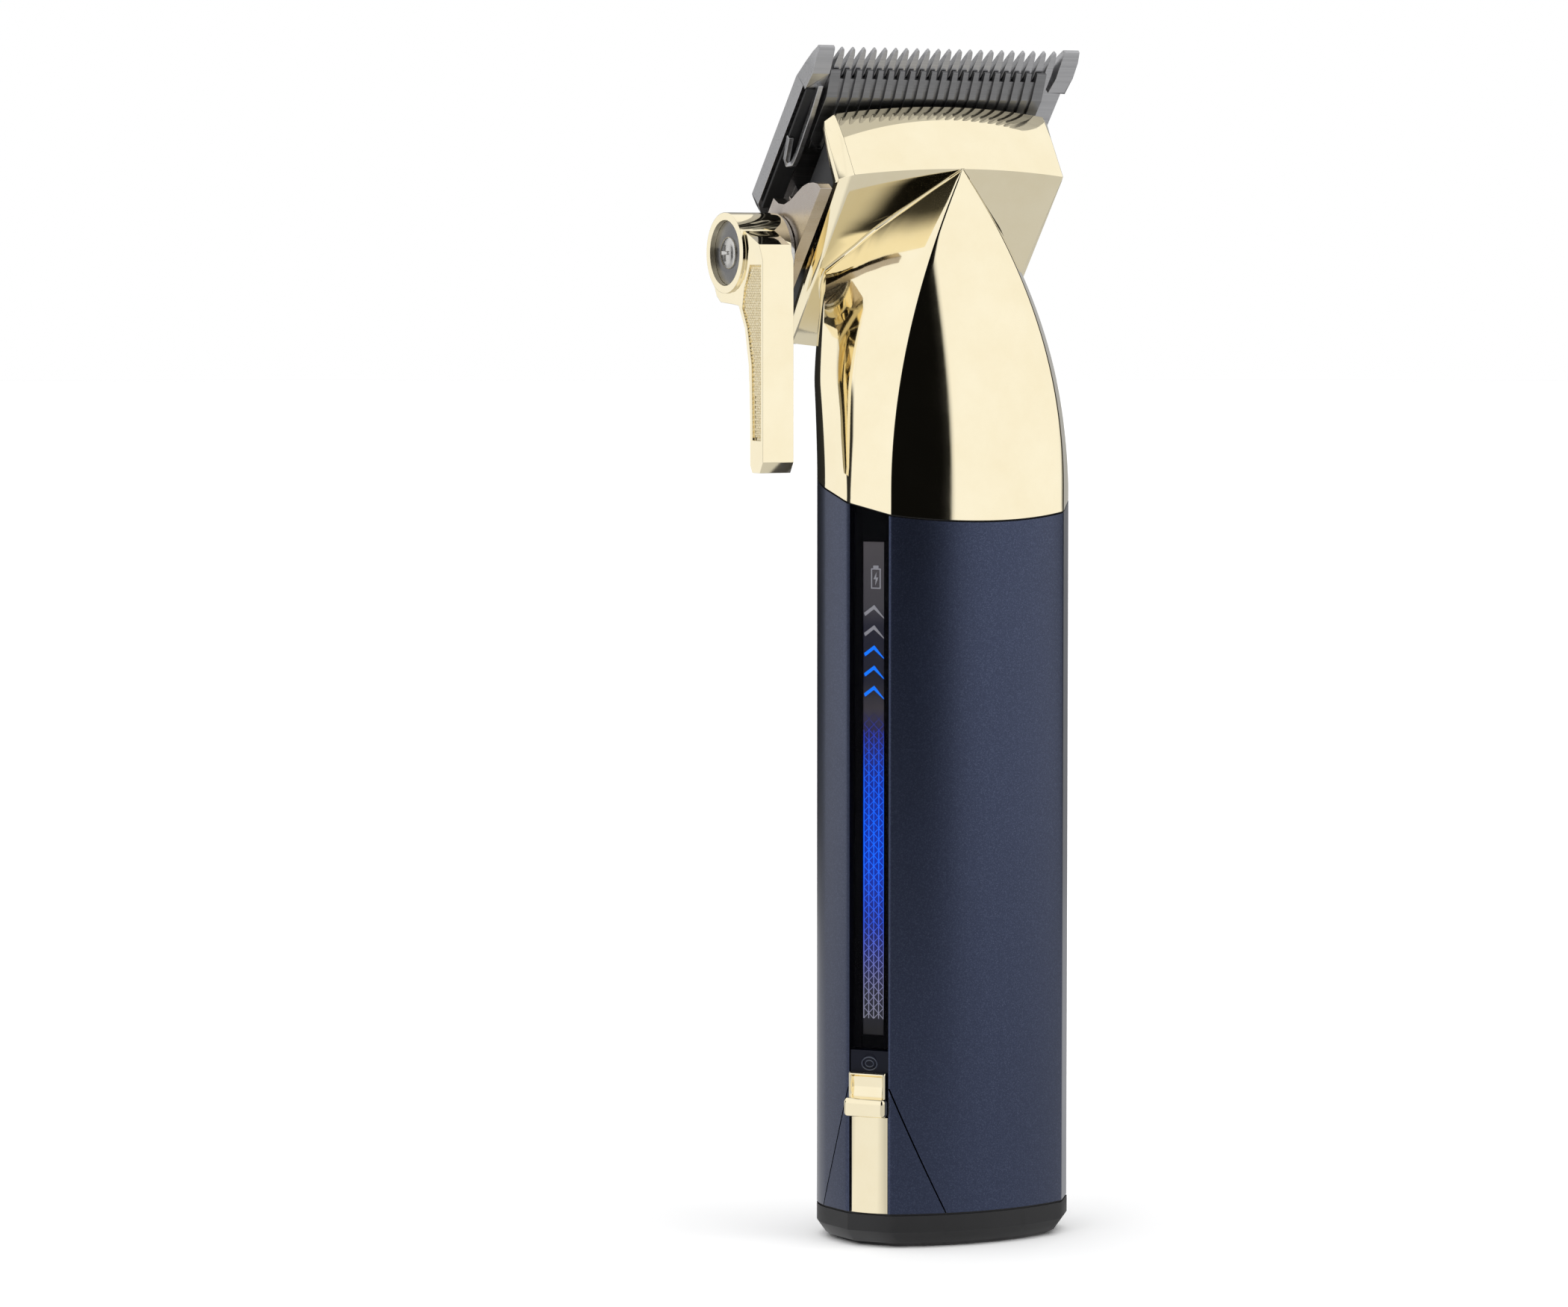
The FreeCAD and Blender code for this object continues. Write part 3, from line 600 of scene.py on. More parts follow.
# ---- head shell ------------------------------------------
RIDGE_HALF, HEAD_HALF, HEAD_HALF_LOW = 17.7, 19.0, 18.3
NECK_SINK, NECK_ROWS, NECK_REACH = 0.35, 56, 0.3
FILLET = 0.5


def visor_ring(x):
    """(depth, height) corners of the head's shell at x: ridge, main edge, rim, its inside, and the tray."""
    a = min(1.0, (x / RIDGE_HALF) ** 2)
    rim = 11.0 - 0.4 * a
    corners = [(0, -1.3 * a), (8.2 - 2.0 * a, 2.6 - 1.9 * a), (rim, 2.95 - 1.3 * a),
               (rim, 1.7 - 2.0 * a), (SKIN, -2.5 - 1.5 * a)]
    if abs(x) > RIDGE_HALF:
        t = (abs(x) - RIDGE_HALF) / (HEAD_HALF - RIDGE_HALF)
        ends = [(1.6, -3.4), (9.6, -0.5), (10.5, 0.3), (10.5, -0.9), (2.6, -5.0)]
        corners = [(q + (eq - q) * t, p + (ep - p) * t) for (q, p), (eq, ep) in zip(corners, ends)]
    chin = -HEAD_LEN + 1.6 * (x / HEAD_HALF) ** 2
    return corners + [(SKIN, chin), (0, chin)]


def head_tray():
    """The leaning plate and its visor, as one closed loft across the head."""
    inner = [RIDGE_HALF * math.sin(math.pi / 2 * i / 20) for i in range(-20, 21)]
    rings = []
    for x in [-HEAD_HALF] + inner + [HEAD_HALF]:
        ring = []
        for q, p in visor_ring(x):
            low = min(1.0, max(0.0, (-2.2 - p) / 31.4))
            ring.append(on_head(x * (1 - low * (1 - HEAD_HALF_LOW / HEAD_HALF)), q, p))
        rings.append(ring)
    tray = solid_of(prism(rings), "tray")
    round_edges(tray, 0.28, 3, 5.5)
    return baked(tray)


def head_depth(point, z):
    """How far a point at height z lies behind the head's front plane."""
    return (point.y - PEAK_Y) * TILT_COS + (z - PEAK_Z) * TILT_SIN


def column_top(i, scale, sink):
    """The height at which outline point i of the neck meets the head's plate."""
    low, high = 118.0, PEAK_Z - 0.02
    for _ in range(30):
        z = (low + high) / 2
        if head_depth(outline(z, NECK_REACH)[i] * scale, z) < sink:
            low = z
        else:
            high = z
    return low


def neck_columns(scale, sink):
    """Columns of points up the neck, one for each point of the outline."""
    columns = []
    start = outline(PART_Z, NECK_REACH)
    for i, foot in enumerate(start):
        bottom = parting_z(foot.y) + SEAM / 2
        top = column_top(i, scale, sink)
        column = []
        for k in range(NECK_ROWS + 1):
            z = bottom + (top - bottom) * k / NECK_ROWS
            point = outline(z, NECK_REACH)[i] * scale
            column.append(Vector((point.x, point.y, z)) * MM)
        columns.append(column)
    return columns


def neck():
    """The pointed neck below the head: an outer and an inner wall, joined at the foot and the plate."""
    outer = neck_columns(1.0, NECK_SINK)
    inner = neck_columns(0.93, 0.9)
    bm = bmesh.new()
    rings = [[column[k] for column in outer] for k in range(NECK_ROWS + 1)]
    rings += [[column[k] for column in inner] for k in range(NECK_ROWS, -1, -1)]
    add_loop_grid(bm, rings + rings[:1])
    bmesh.ops.remove_doubles(bm, verts=bm.verts, dist=2e-6)
    bmesh.ops.dissolve_degenerate(bm, edges=bm.edges, dist=1e-6)
    return bm


def neck_fillet():
    """The small concave fillet where the neck runs into the head's plate, on both sides of the peak."""
    count = len(outline(PART_Z, NECK_REACH))
    plate_normal = Vector((0, -TILT_COS, -TILT_SIN))
    rings = []
    for side in (1, -1):
        order = [i if side > 0 else count - i for i in range(13, 47)]
        points = []
        for i in order:
            z = column_top(i % count, 1.0, 0.0)
            here, below = outline(z, NECK_REACH)[i % count], outline(z - 0.5, NECK_REACH)[i % count]
            points.append((Vector((here.x, here.y, z)), Vector((below.x, below.y, z - 0.5))))
        side_rings = []
        for k, (point, below) in enumerate(points):
            tangent = points[min(k + 1, len(points) - 1)][0] - points[max(k - 1, 0)][0]
            away = tangent.cross(plate_normal).normalized()
            if away.x * side < 0:
                away.negate()
            along = (below - point).normalized()
            size = FILLET * min(1.0, 0.15 + k / 8)
            a, b = point + away * size, point + along * size
            curve = [a.lerp(point, t).lerp(point.lerp(b, t), t) for t in (0, 0.25, 0.5, 0.75, 1)]
            back = point - plate_normal * 0.2 - away * 0.2
            side_rings.append([v * MM for v in curve + [back]])
        rings.append(prism(side_rings))
    return merge(*rings)


def head_shell():
    """The gold neck and the leaning head as one piece."""
    whole = merge(neck(), head_tray(), neck_fillet())
    piece(whole, "head_shell", "gold", "grip", "gold_plate", "head_housing", angle=24)


# ---- light strip -----------------------------------------
PRINT_HALF, PRINT_DEPTH = 1.75, 1.75
MARKS_DEPTH = PRINT_DEPTH - 0.06
BED_HALF, BED_FRONT, BED_BACK, BED_FOOT, BED_TOP = 3.1, 1.5, 2.6, 29.5, 110
FILM_FOOT, FILM_TOP, FILM_BACK = 31.4, 104.6, 1.96
LATTICE_Z0, LATTICE_Z1, LATTICE_ROW, LATTICE_COLS, LATTICE_COL = 33.9, 79.2, 1.617, 4, 0.8
CHEVRON_TOPS, CHEVRONS_LIT = [95.2 - 2.98 * i for i in range(5)], 3


def flat_shape(points, depth, thick=0.03):
    """A thin closed plate in the facet frame from (x, z) corners."""
    return prism([[on_facet(x, d, z) for x, z in points] for d in (depth, depth + thick)])


def line_shape(a, b, width, depth):
    """A thin straight line between two (x, z) points of the facet frame."""
    a, b = Vector(a), Vector(b)
    side = (b - a).normalized().orthogonal() * width / 2
    return flat_shape([a - side, b - side, b + side, a + side], depth)


def chevron(top):
    """An arrowhead with a broad left arm and a right arm that tapers away."""
    return flat_shape([(0.05, top), (-1.62, top - 1.2), (-1.42, top - 1.66), (-0.02, top - 0.62),
                       (1.68, top - 2.02), (1.70, top - 1.92)], MARKS_DEPTH)


def battery_mark():
    """The outline of a cell with its cap above it and a bolt in it."""
    x, z0, z1, half, line = 0.3, 97.6, 100.6, 0.78, 0.17
    low, high = z0 + line, z1 - line
    bars = [(x - half, x + half, z0, low), (x - half, x + half, high, z1),
            (x - half, x - half + line, low, high), (x + half - line, x + half, low, high),
            (x - 0.42, x + 0.42, z1 + 0.02, z1 + 0.42)]
    parts = [flat_shape([(a, c), (b, c), (b, d), (a, d)], MARKS_DEPTH) for a, b, c, d in bars]
    bolt = [(x + 0.1, z1 - 0.55), (x - 0.38, z1 - 1.6), (x - 0.02, z1 - 1.6), (x - 0.1, z0 + 0.5),
            (x + 0.38, z1 - 1.35), (x + 0.04, z1 - 1.35)]
    return merge(*parts, flat_shape(bolt, MARKS_DEPTH))


def lattice():
    """A net of triangles: upright lines, and slanting ones between staggered crossings."""
    pitch = LATTICE_COL
    columns = [pitch * (i - LATTICE_COLS / 2) for i in range(LATTICE_COLS + 1)]
    parts = [line_shape((x, LATTICE_Z0), (x, LATTICE_Z1 - 2.5), 0.13, MARKS_DEPTH) for x in columns]
    for row in range(int((LATTICE_Z1 - LATTICE_Z0) / LATTICE_ROW)):
        z = LATTICE_Z0 + row * LATTICE_ROW
        for i in range(LATTICE_COLS):
            even, odd = columns[i + i % 2], columns[i + 1 - i % 2]
            for start in (z, z + LATTICE_ROW):
                middle = (odd, z + LATTICE_ROW / 2)
                parts.append(line_shape((even, start), middle, 0.1, MARKS_DEPTH + 0.005))
    return merge(*parts)


def light_strip():
    """The printed marks, the lit film under them and the black bed around it."""
    for i, top in enumerate(CHEVRON_TOPS):
        lit = i >= len(CHEVRON_TOPS) - CHEVRONS_LIT
        name = "level_arrow_%d" % (i + 1)
        # The unlit arrows take the grey print, whose glow is painted light.
        piece(chevron(top), name, "lit" if lit else "print", "grip", "light_strip")
    # The battery mark also takes the grey print's painted glow.
    piece(battery_mark(), "battery_mark", "print", "grip", "light_strip")
    piece(lattice(), "strip_lattice", "lattice", "grip", "light_strip")
    film = facet_block(-PRINT_HALF, PRINT_HALF, PRINT_DEPTH, PRINT_DEPTH + 0.2,
                       FILM_FOOT + 0.1, FILM_TOP - 0.1)
    piece(film, "strip_film", "film", "grip", "light_strip")
    edge = PRINT_HALF + 0.02
    deep, tall = (BED_FRONT, BED_BACK), (BED_FOOT, BED_TOP)
    rails = [(-BED_HALF, -edge, *deep, *tall), (edge, BED_HALF, *deep, *tall),
             (-edge, edge, FILM_BACK, BED_BACK, *tall),
             (-edge, edge, BED_FRONT, FILM_BACK, FILM_TOP, BED_TOP),
             (-edge, edge, BED_FRONT, FILM_BACK, BED_FOOT, FILM_FOOT)]
    bed = merge(*[facet_block(*rail) for rail in rails])
    piece(bed, "strip_bed", "gloss_black", "grip", "light_strip", "light_panel", bevel=0.06)


# ---- slider ----------------------------------------------
SLIDER_Z0, SLIDER_Z1, SLIDER_HALF, SLIDER_BACK = 19.6, 26.1, 2.95, 0.1
SCOOP, RIM_FLAT, RIM_FALL = 0.8, 0.28, 0.42
TRIM_HALF, TRIM_EDGE, TRIM_CROWN = 3.12, 0.28, 0.52
MARK_Z, MARK_DEPTH = 27.35, 0.32


def eased(half, columns):
    """Places from -half to half, closer together towards the ends."""
    return [half * math.sin(math.pi / 2 * (2 * i / columns - 1)) for i in range(columns + 1)]


def smooth(t):
    """A smooth rise from 0 to 1 as t goes from 0 to 1."""
    t = min(1.0, max(0.0, t))
    return t * t * (3 - 2 * t)


def slider_depth(x, z):
    """The slider's outer face: a raised rim around a scooped thumb rest."""
    edge = min(SLIDER_HALF - abs(x), SLIDER_Z1 - z)
    rim = smooth((edge - RIM_FLAT) / RIM_FALL)
    scoop = SCOOP * rim * (0.75 + 0.25 * math.sin(math.pi * smooth((z - 22.4) / 3.4)))
    corner = max(0.0, 0.4 - edge)
    rounding = 0.4 - math.sqrt(max(0.0, 0.16 - corner ** 2))
    return -0.95 + scoop + rounding


def slider_cap():
    """The scooped plate, the wide ridge under it and the stem through the slot."""
    columns, rows = 36, 40
    rings = []
    for j in range(rows + 1):
        z = SLIDER_Z0 + (SLIDER_Z1 - SLIDER_Z0) * j / rows
        ring = [on_facet(x, slider_depth(x, z), z) for x in eased(SLIDER_HALF, columns)]
        ring += [on_facet(SLIDER_HALF, SLIDER_BACK, z), on_facet(-SLIDER_HALF, SLIDER_BACK, z)]
        rings.append(ring)
    ridge = solid_of(facet_block(-3.3, 3.3, -2.0, -0.15, SLIDER_Z0, SLIDER_Z0 + 2.8), "ridge")
    round_edges(ridge, 0.62, 6)
    stem = facet_block(-1.0, 1.0, 0.0, 3.5, 20.5, 22.6)
    cap = merge(prism(rings), baked(ridge), stem)
    piece(cap, "slider_cap", "gold", "slider", "gold_plate", "power_slider", angle=40)


def trim_point(x, z):
    """The outer face of the trim under the slider: gently crowned, with rolled edges."""
    roll = max(0.0, 0.35 - (TRIM_HALF - abs(x)))
    return on_facet(x, TRIM_EDGE - TRIM_CROWN * (1 - (x / TRIM_HALF) ** 2) + roll ** 2 * 1.2, z)


def switch_trim():
    """The crowned gold bar from the base cap up to the slider."""
    across = eased(TRIM_HALF, 28)
    low, high = (corner[2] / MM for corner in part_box("slider_trim"))
    rings = []
    for z in (low, low + 0.12, high - 0.12, high):
        rings.append([trim_point(x, z) for x in across]
                     + [on_facet(TRIM_HALF, TRIM_EDGE + 1.0, z), on_facet(-TRIM_HALF, TRIM_EDGE + 1.0, z)])
    piece(prism(rings), "switch_trim", "gold", "grip", "gold_plate", "slider_trim", angle=35)


def oval_ring(half_x, half_z, thick, steps=48, sides=8):
    """A raised oval ring on the deck above the slider, in the facet frame."""
    bm = bmesh.new()
    rings = []
    for i in range(steps):
        a = 2 * math.pi * i / steps
        ring = []
        for j in range(sides):
            b = 2 * math.pi * j / sides
            r = thick * math.cos(b)
            ring.append(on_facet((half_x + r) * math.cos(a), MARK_DEPTH - thick * math.sin(b),
                                 MARK_Z + (half_z + r) * math.sin(a)))
        rings.append(ring)
    add_loop_grid(bm, rings + rings[:1])
    bmesh.ops.remove_doubles(bm, verts=bm.verts, dist=1e-7)
    return bm


def switch_mark():
    """The double oval that marks the switch's on position."""
    mark = merge(oval_ring(1.22, 0.95, 0.12), oval_ring(0.66, 0.48, 0.10))
    piece(mark, "switch_mark", "mark", "grip", "navy_metal", angle=40)


# ---- lever -----------------------------------------------
PIVOT = on_head(0, 4.9, -20.3) / MM
KNURL = [(-10.8, -1.8), (-10.8, -27.6), (-8.1, -27.6), (-7.8, -16.5), (-6.4, -11.1), (-4.7, -8.1),
         (-5.4, -5.2), (-6.7, -3.0), (-7.2, -1.8)]
KNURL_PITCH = 0.72
POCKET_FLOOR, KNURL_TIP = -30.08, -30.46


def inside(y, z, corners):
    """True for a point inside an outline: counts the sides crossed on the way out."""
    crossed = False
    for (y0, z0), (y1, z1) in zip(corners, corners[1:] + corners[:1]):
        if (z0 > z) != (z1 > z) and y < y0 + (z - z0) / (z1 - z0) * (y1 - y0):
            crossed = not crossed
    return crossed


def lever_knurl():
    """Small diamond points over the floor of the handle's side pocket."""
    bm = bmesh.new()
    half = KNURL_PITCH / 2
    for row in range(-100, 0):
        for column in range(-40, 0):
            if (row + column) % 2:
                continue
            y, z = column * half, row * half
            ends = [(y - half, z), (y, z - half), (y + half, z), (y, z + half)]
            if not all(inside(a, b, KNURL) for a, b in ends):
                continue
            base = [bm.verts.new(Vector((POCKET_FLOOR, PIVOT.y + a, PIVOT.z + b)) * MM) for a, b in ends]
            top = bm.verts.new(Vector((KNURL_TIP, PIVOT.y + y, PIVOT.z + z)) * MM)
            bm.faces.new(base)
            for a, b in zip(base, base[1:] + base[:1]):
                bm.faces.new((a, b, top))
    bed = prism([[Vector((x, PIVOT.y + a, PIVOT.z + b)) * MM for a, b in KNURL]
                 for x in (POCKET_FLOOR + 0.05, POCKET_FLOOR - 0.03)])
    piece(merge(bm, bed), "lever_knurl", "knurl", "lever", "gold_plate", angle=10)


def lathe_x(profile, y, z, steps=64):
    """A closed turned shape about an axis along X: its (x, radius) points start and end on the axis."""
    bm = bmesh.new()
    rings = []
    for x, r in profile:
        turns = [2 * math.pi * i / steps for i in range(steps)]
        rings.append([Vector((x, y + r * math.cos(a), z + r * math.sin(a))) * MM for a in turns])
    add_loop_grid(bm, rings)
    bmesh.ops.remove_doubles(bm, verts=bm.verts, dist=1e-7)
    bmesh.ops.recalc_face_normals(bm, faces=bm.faces)
    return bm


def lever_screw():
    """A domed cross-head screw on a steel washer, in the hub's recess."""
    y, z, seat, head_r = PIVOT.y, PIVOT.z, -30.15, 2.4
    rim = [(seat + 0.13, 0), (seat + 0.13, 4.78), (seat + 0.02, 4.78), (seat - 0.02, 3.0), (seat - 0.02, 0)]
    piece(lathe_x(rim, y, z), "hub_washer", "cutter", "lever", "bright_steel")
    dome = [(seat - 0.2 - 0.62 * math.cos(math.pi / 2 * i / 8), head_r * math.sin(math.pi / 2 * i / 8))
            for i in range(9)]
    profile = dome + [(seat, head_r), (seat, 1.0), (seat + 11.4, 1.0), (seat + 11.4, 0)]
    screw = lathe_x(profile, y, z)
    square = ((-1, -1), (1, -1), (1, 1), (-1, 1))
    for wide, tall in ((0.32, 1.45), (1.45, 0.32)):
        rings = [[Vector((x, y + a * wide * k, z + b * tall * k)) * MM for a, b in square]
                 for x, k in ((seat - 0.95, 1.0), (seat - 0.12, 0.45))]
        cutter = prism(rings)
        screw_next = combined(screw, cutter, "DIFFERENCE")
        screw.free()
        screw = screw_next
    piece(screw, "lever_screw_head", "steel", "lever", "bright_steel", "lever_screw", bevel=0.05)


# ---- comb ------------------------------------------------
COMB_TEETH, COMB_PITCH = 21, 1.8
CUTTER_REST = -0.9
COMB_HALF, COMB_IN, ROOT_P = 22.5, 13.8, 4.1
# (height, half width at the cutting face, half width at the outer face) of one tooth
TOOTH = [(3.8, 0.70, 0.62), (7.0, 0.67, 0.52), (8.6, 0.58, 0.40), (9.9, 0.44, 0.28), (10.7, 0.28, 0.18),
         (11.0, 0.15, 0.10)]
# (height, depth of the cutting face, step towards the middle) of an end tooth
END_TOOTH = [(3.8, 12.9, 0.35), (7.0, 12.7, 0.25), (9.6, 13.45, 0.1), (10.9, 13.9, 0.0), (11.3, 14.1, -0.12)]


def tooth_depths(p):
    """Depths of a tooth's cutting face and outer face at height p."""
    return COMB_IN + max(0.0, p - 7.0) * 0.07, 16.4 - max(0.0, p - 3.4) * 0.228


def comb_tooth(x):
    """One ground tooth, narrower towards its tip and its outer face."""
    rings = []
    for p, half_in, half_out in TOOTH:
        q_in, q_out = tooth_depths(p)
        rings.append([on_head(x - half_in, q_in, p), on_head(x + half_in, q_in, p),
                      on_head(x + half_out, q_out, p), on_head(x - half_out, q_out, p)])
    return prism(rings)


def comb_end_block(sign):
    """The broad end tooth, thicker than the others towards the cutter."""
    inner, outer = 19.55, COMB_HALF
    rings = []
    for p, back, step in END_TOOTH:
        q_out = tooth_depths(p)[1]
        side = outer if p < 10 else outer - 0.18
        rings.append([on_head(sign * (inner + 0.1 - step * 0.4), back, p), on_head(sign * side, back, p),
                      on_head(sign * side, q_out, p), on_head(sign * (inner - step), q_out, p)])
    return prism(rings)


def comb_blade():
    """The fixed blade: its plate as designed, with each tooth ground to a taper."""
    plate = cad_mesh("fixed_blade")
    up = on_head(0, 0, 1) - on_head(0, 0, 0)
    everything = list(plate.verts) + list(plate.edges) + list(plate.faces)
    root = on_head(0, 0, ROOT_P)
    bmesh.ops.bisect_plane(plate, geom=everything, plane_co=root, plane_no=up, clear_outer=True)
    bmesh.ops.holes_fill(plate, edges=[e for e in plate.edges if e.is_boundary])
    flat = math.radians(FLAT_DEG)
    bmesh.ops.dissolve_limit(plate, angle_limit=flat, verts=plate.verts, edges=plate.edges)
    teeth = [comb_tooth((i - (COMB_TEETH - 1) / 2) * COMB_PITCH) for i in range(COMB_TEETH)]
    whole = merge(plate, *teeth, comb_end_block(-1), comb_end_block(1))
    for vert in whole.verts:
        height = (vert.co / MM - Vector((0, PEAK_Y, PEAK_Z))).dot(up / MM)
        if abs(vert.co.x) > 19.3 * MM:
            low = min(1.0, max(0.0, (11 - height) / 6))
            vert.co.x *= 0.99 - 0.008 * low
            vert.co += (on_head(0, 0.8 * low, 0) - on_head(0, 0, 0))
    piece(whole, "comb_blade", "comb", "comb_carriage", "comb_steel", "fixed_blade", bevel=0.07)


def cutter_web():
    """The steel left between the cutter's ribs, which makes its grooves shallow."""
    side = [(12.35, -6.2), (12.35, 3.4), (13.15, 6.2), (13.6, 6.2), (13.6, -6.2)]
    web = prism([[on_head(CUTTER_REST + x, q, p) for q, p in side] for x in (-17.8, 17.8)])
    piece(web, "cutter_web", "cutter", "cutter", "cutter_steel", bevel=0.04)


def spring_arm():
    """A bent steel strip beside the cutter on the lever's side, hooked back to the comb."""
    path = [(20.15, 13.3, 4.9), (20.2, 12.6, 0.0), (20.3, 12.0, -7.2), (20.45, 11.95, -8.9),
            (20.9, 12.35, -9.5), (21.35, 12.8, -8.8), (21.8, 13.3, -4.9)]
    rings = []
    for i, (x, q, p) in enumerate(path):
        before, after = path[max(i - 1, 0)], path[min(i + 1, len(path) - 1)]
        along = Vector((after[1] - before[1], after[2] - before[2])).normalized()
        q_side, p_side = along.y * 0.45, -along.x * 0.45
        rings.append([on_head(0.42 - x, q - q_side, p - p_side), on_head(-0.42 - x, q - q_side, p - p_side),
                      on_head(-0.42 - x, q + q_side, p + p_side), on_head(0.42 - x, q + q_side, p + p_side)])
    piece(prism(rings), "spring_arm", "comb", "comb_carriage", "comb_steel", angle=40, bevel=0.1)


def comb_shade_plate():
    """A black plate on the comb's inner face, beside the cutter on the lever's side: painted shade, a dark
    sheet put in the recess where only shade falls.
    """
    corners = [(-19.0, 3.9), (-22.0, 3.9), (-22.0, -18.6), (-19.0, -18.6)]
    # Painted shade: this black sheet darkens the shaded recess beside the cutter.
    shade_sheet = prism([[on_head(x, q, p) for x, p in corners] for q in (13.3, 13.79)])
    piece(shade_sheet, "comb_shade_plate", "black", "comb_carriage", "black_plastic", bevel=0.08)


# ---- pieces from the CAD shapes --------------------------
COPIES = [
    ("base_cap", "foot_cap", "black", "black_plastic", 0.12),
    ("blade_frame", "head_frame", "dark", "dark_plastic", 0.12),
    ("rear_cover", "head_rear_cover", "dark", "dark_plastic", 0.6),
    ("moving_blade", "cutter_blade", "cutter", "cutter_steel", 0.05),
    ("cutter_guide", "cutter_guide_block", "black", "black_plastic", 0.3),
    ("blade_carriage", "carriage_plate", "warm_steel", "bright_steel", 0.2),
    ("blade_screws", "comb_screws", "steel", "bright_steel", 0.12),
    ("taper_lever", "lever_arm", "gold", "gold_plate", 0.28),
    ("lever_cam", "lever_cam_disc", "steel", "bright_steel", 0.1),
    ("switch_deck", "switch_bed", "deck", "navy_metal", 0.03),
    ("charging_socket", "inlet_shell", "black", "black_plastic", 0.15),
    ("cap_screws", "foot_screws", "steel", "bright_steel", 0.1),
    ("tension_spring", "spring_wire", "steel", "bright_steel", 0.0),
]

KEPT = {
    "light_window": "smoked", "seam_gasket": "black", "pivot_bush": "brass", "charging_pin": "brass",
    "led_board": "board", "slide_switch": "black", "battery": "wrap",
    "battery_holder": "black", "main_board": "board", "motor": "steel", "motor_bracket": "steel",
    "motor_screws": "steel", "motor_leads": "lead", "motor_shaft": "steel", "drive_eccentric": "brass",
    "cutter_yoke": "black",
}


def cad_pieces():
    """Refined copies of the CAD shapes that show, and finishes for those kept as they are."""
    for node, name, material, slot, bevel in COPIES:
        refined(node, name, material, slot, bevel)
    for node, material in KEPT.items():
        NODES[node].data.materials.clear()
        NODES[node].data.materials.append(MATS[material])


grip()
foot_seal()
head_shell()
light_strip()
slider_cap()
switch_trim()
switch_mark()
lever_knurl()
lever_screw()
comb_blade()
cutter_web()
spring_arm()
comb_shade_plate()
cad_pieces()


# ---- studio ----------------------------------------------
# Brightness around the clipper that polished metal sees, by azimuth from the front, positive to the right
AROUND = [(-180, 0.02), (-155.4, 0.03), (-154.6, 1.0), (-126, 1.03), (-123, 0.03), (-102, 0.03),
          (-98, 1.03), (-44, 1.03), (-40, 0.05), (-30, 0.004), (4, 0.004), (9.4, 0.02), (10.0, 1.03),
          (80, 1.03), (83, 0.03), (120, 0.06), (130, 0.4), (150, 0.45), (155, 0.02), (180, 0.02)]
# Where the dark gap in front goes on up overhead, and where the gap at the left stops low down
FRONT_GAP = [(-42, 0), (-40, 1), (9.4, 1), (10.2, 0)]
LEFT_LOW = [(-126, 0), (-124, 1), (-99, 1), (-97, 0)]
# The same for the floor's reflection near the clipper
FLOOR_AROUND = [(-180, 0.64), (-112, 0.64), (-98, 0.94), (-60, 0.94), (-48, 0.64), (180, 0.64)]
ROOM_TOP, OVERHEAD = 1.03, 0.6
# Upward parts of a direction, from level 0 to straight up 1, between which the room changes
LEFT_OPENS, WALLS_END, ROOM_DIMS, GAP_ENDS = (0.24, 0.32), (0.45, 0.62), (0.86, 0.90), (0.95, 0.975)
GLOSS_NEAR, GLOSS_FAR = 0.34, 0.60   # metres out over which the floor's reflection turns to the walls'
FLOOR_R, SHEET_R, SHEET_Z = 8.0, 0.9, 0.0006
CAMERA_AZIMUTH, CAMERA_DISTANCE, CAMERA_HEIGHT = math.radians(-29.0), 0.854, 0.1416
CAMERA_DOWN, CAMERA_LEFT, LENS, SENSOR = math.radians(3.65), math.radians(1.564), 131.0, 36.0


def disc(radius, height, name, material):
    """A flat round sheet about the origin."""
    bm = bmesh.new()
    bmesh.ops.create_circle(bm, cap_ends=True, segments=96, radius=radius)
    bmesh.ops.translate(bm, verts=bm.verts, vec=(0, 0, height))
    return finish_mesh(bm, name, material)


def studio_floor():
    """A white floor, and just over it a sheet that only glossy reflections see."""
    f = Finish("pale_floor")
    f.set(Base_Color=(0.93, 0.93, 0.93, 1))
    f.use(Roughness=f.vary(f.noise(3, 2), 0.55, 0.6))
    floor = disc(FLOOR_R, 0.0, "studio_floor", f.material)
    floor.visible_glossy = False
    material = bpy.data.materials.new("floor_gloss")
    material.use_nodes = True
    material.node_tree.nodes.clear()
    nodes = NodeBuilder(material.node_tree)
    coords = nodes.add("ShaderNodeTexCoord").outputs["Object"]
    walls, _ = nodes.around(coords, AROUND)
    length = nodes.add("ShaderNodeVectorMath", operation="LENGTH")
    nodes.link(coords, length.inputs[0])
    mix = nodes.add("ShaderNodeMix", data_type="RGBA")
    nodes.link(nodes.step(length.outputs["Value"], GLOSS_NEAR, GLOSS_FAR), mix.inputs["Factor"])
    near, _ = nodes.around(coords, FLOOR_AROUND)
    nodes.link(near, mix.inputs["A"])
    nodes.link(walls, mix.inputs["B"])
    glow = nodes.add("ShaderNodeEmission")
    nodes.link(mix.outputs["Result"], glow.inputs["Color"])
    nodes.link(glow.outputs[0], nodes.add("ShaderNodeOutputMaterial").inputs["Surface"])
    sheet = disc(SHEET_R, SHEET_Z, "floor_reflection", material)
    for kind in ("camera", "diffuse", "shadow", "transmission", "volume_scatter"):
        setattr(sheet, "visible_" + kind, False)


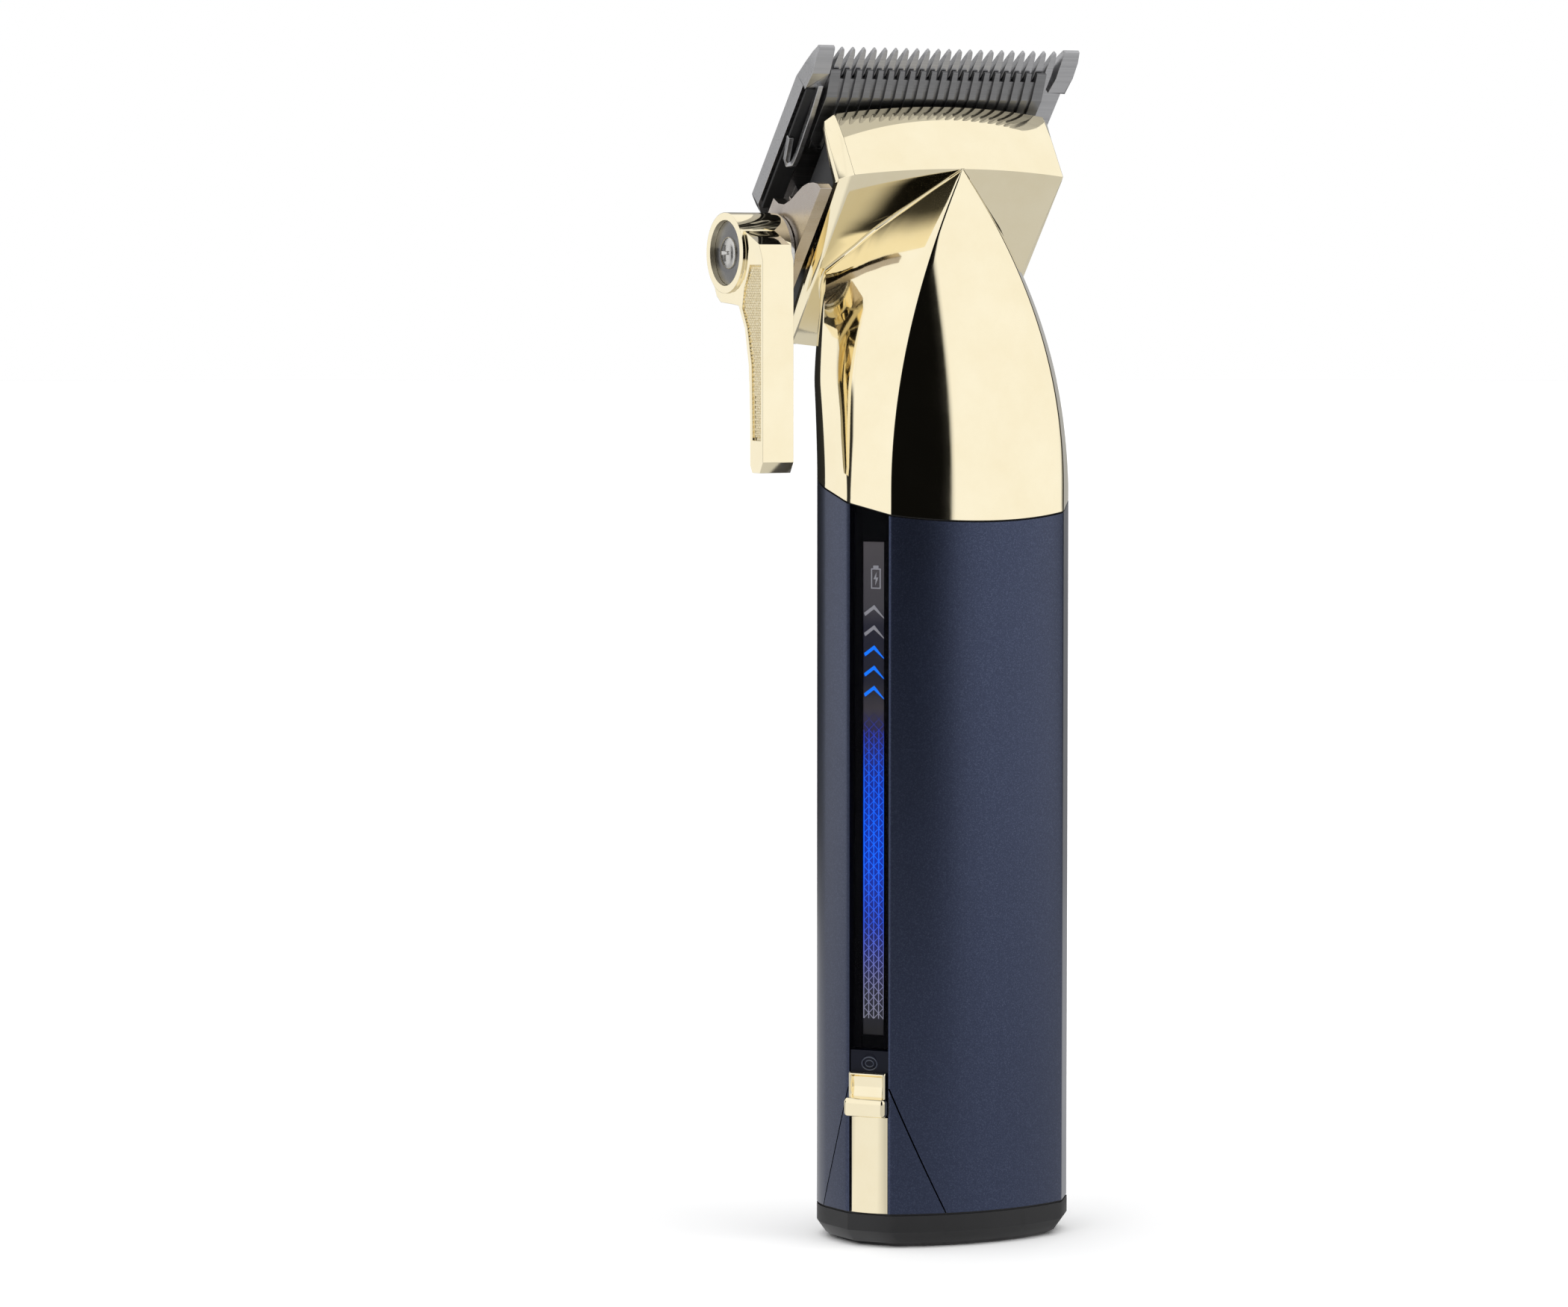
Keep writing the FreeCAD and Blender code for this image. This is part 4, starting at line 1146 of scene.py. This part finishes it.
def studio_world():
    """White behind the clipper; around it for the metal, bright walls with dark gaps."""
    world = bpy.data.worlds.new("studio")
    bpy.context.scene.world = world
    world.use_nodes = True
    world.node_tree.nodes.clear()
    nodes = NodeBuilder(world.node_tree)
    direction = nodes.add("ShaderNodeTexCoord").outputs["Generated"]
    walls, z = nodes.around(direction, AROUND)
    gap, _ = nodes.around(direction, FRONT_GAP)
    above_walls, overhead = nodes.step(z, *WALLS_END), nodes.step(z, *GAP_ENDS)
    closed = nodes.math("MULTIPLY", gap, nodes.math("SUBTRACT", 1.0, overhead))
    mix = nodes.add("ShaderNodeMix", data_type="RGBA")
    low, _ = nodes.around(direction, LEFT_LOW)
    early = nodes.math("MULTIPLY", low, nodes.step(z, *LEFT_OPENS))
    high = nodes.math("MULTIPLY", above_walls, nodes.math("SUBTRACT", 1.0, closed))
    nodes.link(nodes.math("MAXIMUM", early, high), mix.inputs["Factor"])
    nodes.link(walls, mix.inputs["A"])
    dimmer = nodes.math("MULTIPLY", nodes.step(z, *ROOM_DIMS), ROOM_TOP - OVERHEAD)
    top = nodes.math("SUBTRACT", ROOM_TOP, dimmer)
    grey = nodes.add("ShaderNodeCombineColor")
    for socket in grey.inputs:
        nodes.link(top, socket)
    nodes.link(grey.outputs[0], mix.inputs["B"])
    room = nodes.add("ShaderNodeBackground", Strength=1.0)
    nodes.link(mix.outputs["Result"], room.inputs["Color"])
    white = nodes.add("ShaderNodeBackground", Color=(1, 1, 1, 1), Strength=1.0)
    shader = nodes.add("ShaderNodeMixShader")
    nodes.link(nodes.add("ShaderNodeLightPath").outputs["Is Camera Ray"], shader.inputs[0])
    nodes.link(room.outputs[0], shader.inputs[1])
    nodes.link(white.outputs[0], shader.inputs[2])
    nodes.link(shader.outputs[0], nodes.add("ShaderNodeOutputWorld").inputs["Surface"])


def soft_sun(name, source, strength, spread):
    """A broad even light from a direction, for matt surfaces only."""
    light = bpy.data.lights.new(name, "SUN")
    light.energy = strength
    light.angle = math.radians(spread)
    obj = bpy.data.objects.new(name, light)
    bpy.context.scene.collection.objects.link(obj)
    obj.rotation_euler = Vector(source).to_track_quat("Z", "Y").to_euler()
    obj.visible_glossy = False


def studio_camera():
    """A long lens at the front left, a little below the head, turned slightly left of the clipper."""
    data = bpy.data.cameras.new("camera")
    data.lens, data.sensor_width = LENS, SENSOR
    data.clip_start, data.clip_end = 0.05, 50
    camera = bpy.data.objects.new("camera", data)
    bpy.context.scene.collection.objects.link(camera)
    camera.location = (math.sin(CAMERA_AZIMUTH) * CAMERA_DISTANCE,
                       -math.cos(CAMERA_AZIMUTH) * CAMERA_DISTANCE, CAMERA_HEIGHT)
    camera.rotation_euler = (math.radians(90) - CAMERA_DOWN, 0, CAMERA_AZIMUTH + CAMERA_LEFT)
    bpy.context.scene.camera = camera


studio_floor()
studio_world()
soft_sun("key_light", (-0.3, -0.5, 1.0), 1.5, 100)
soft_sun("fill_light", (0.6, 0.3, 1.0), 0.9, 120)
studio_camera()
bpy.context.scene.view_settings.view_transform = "Standard"
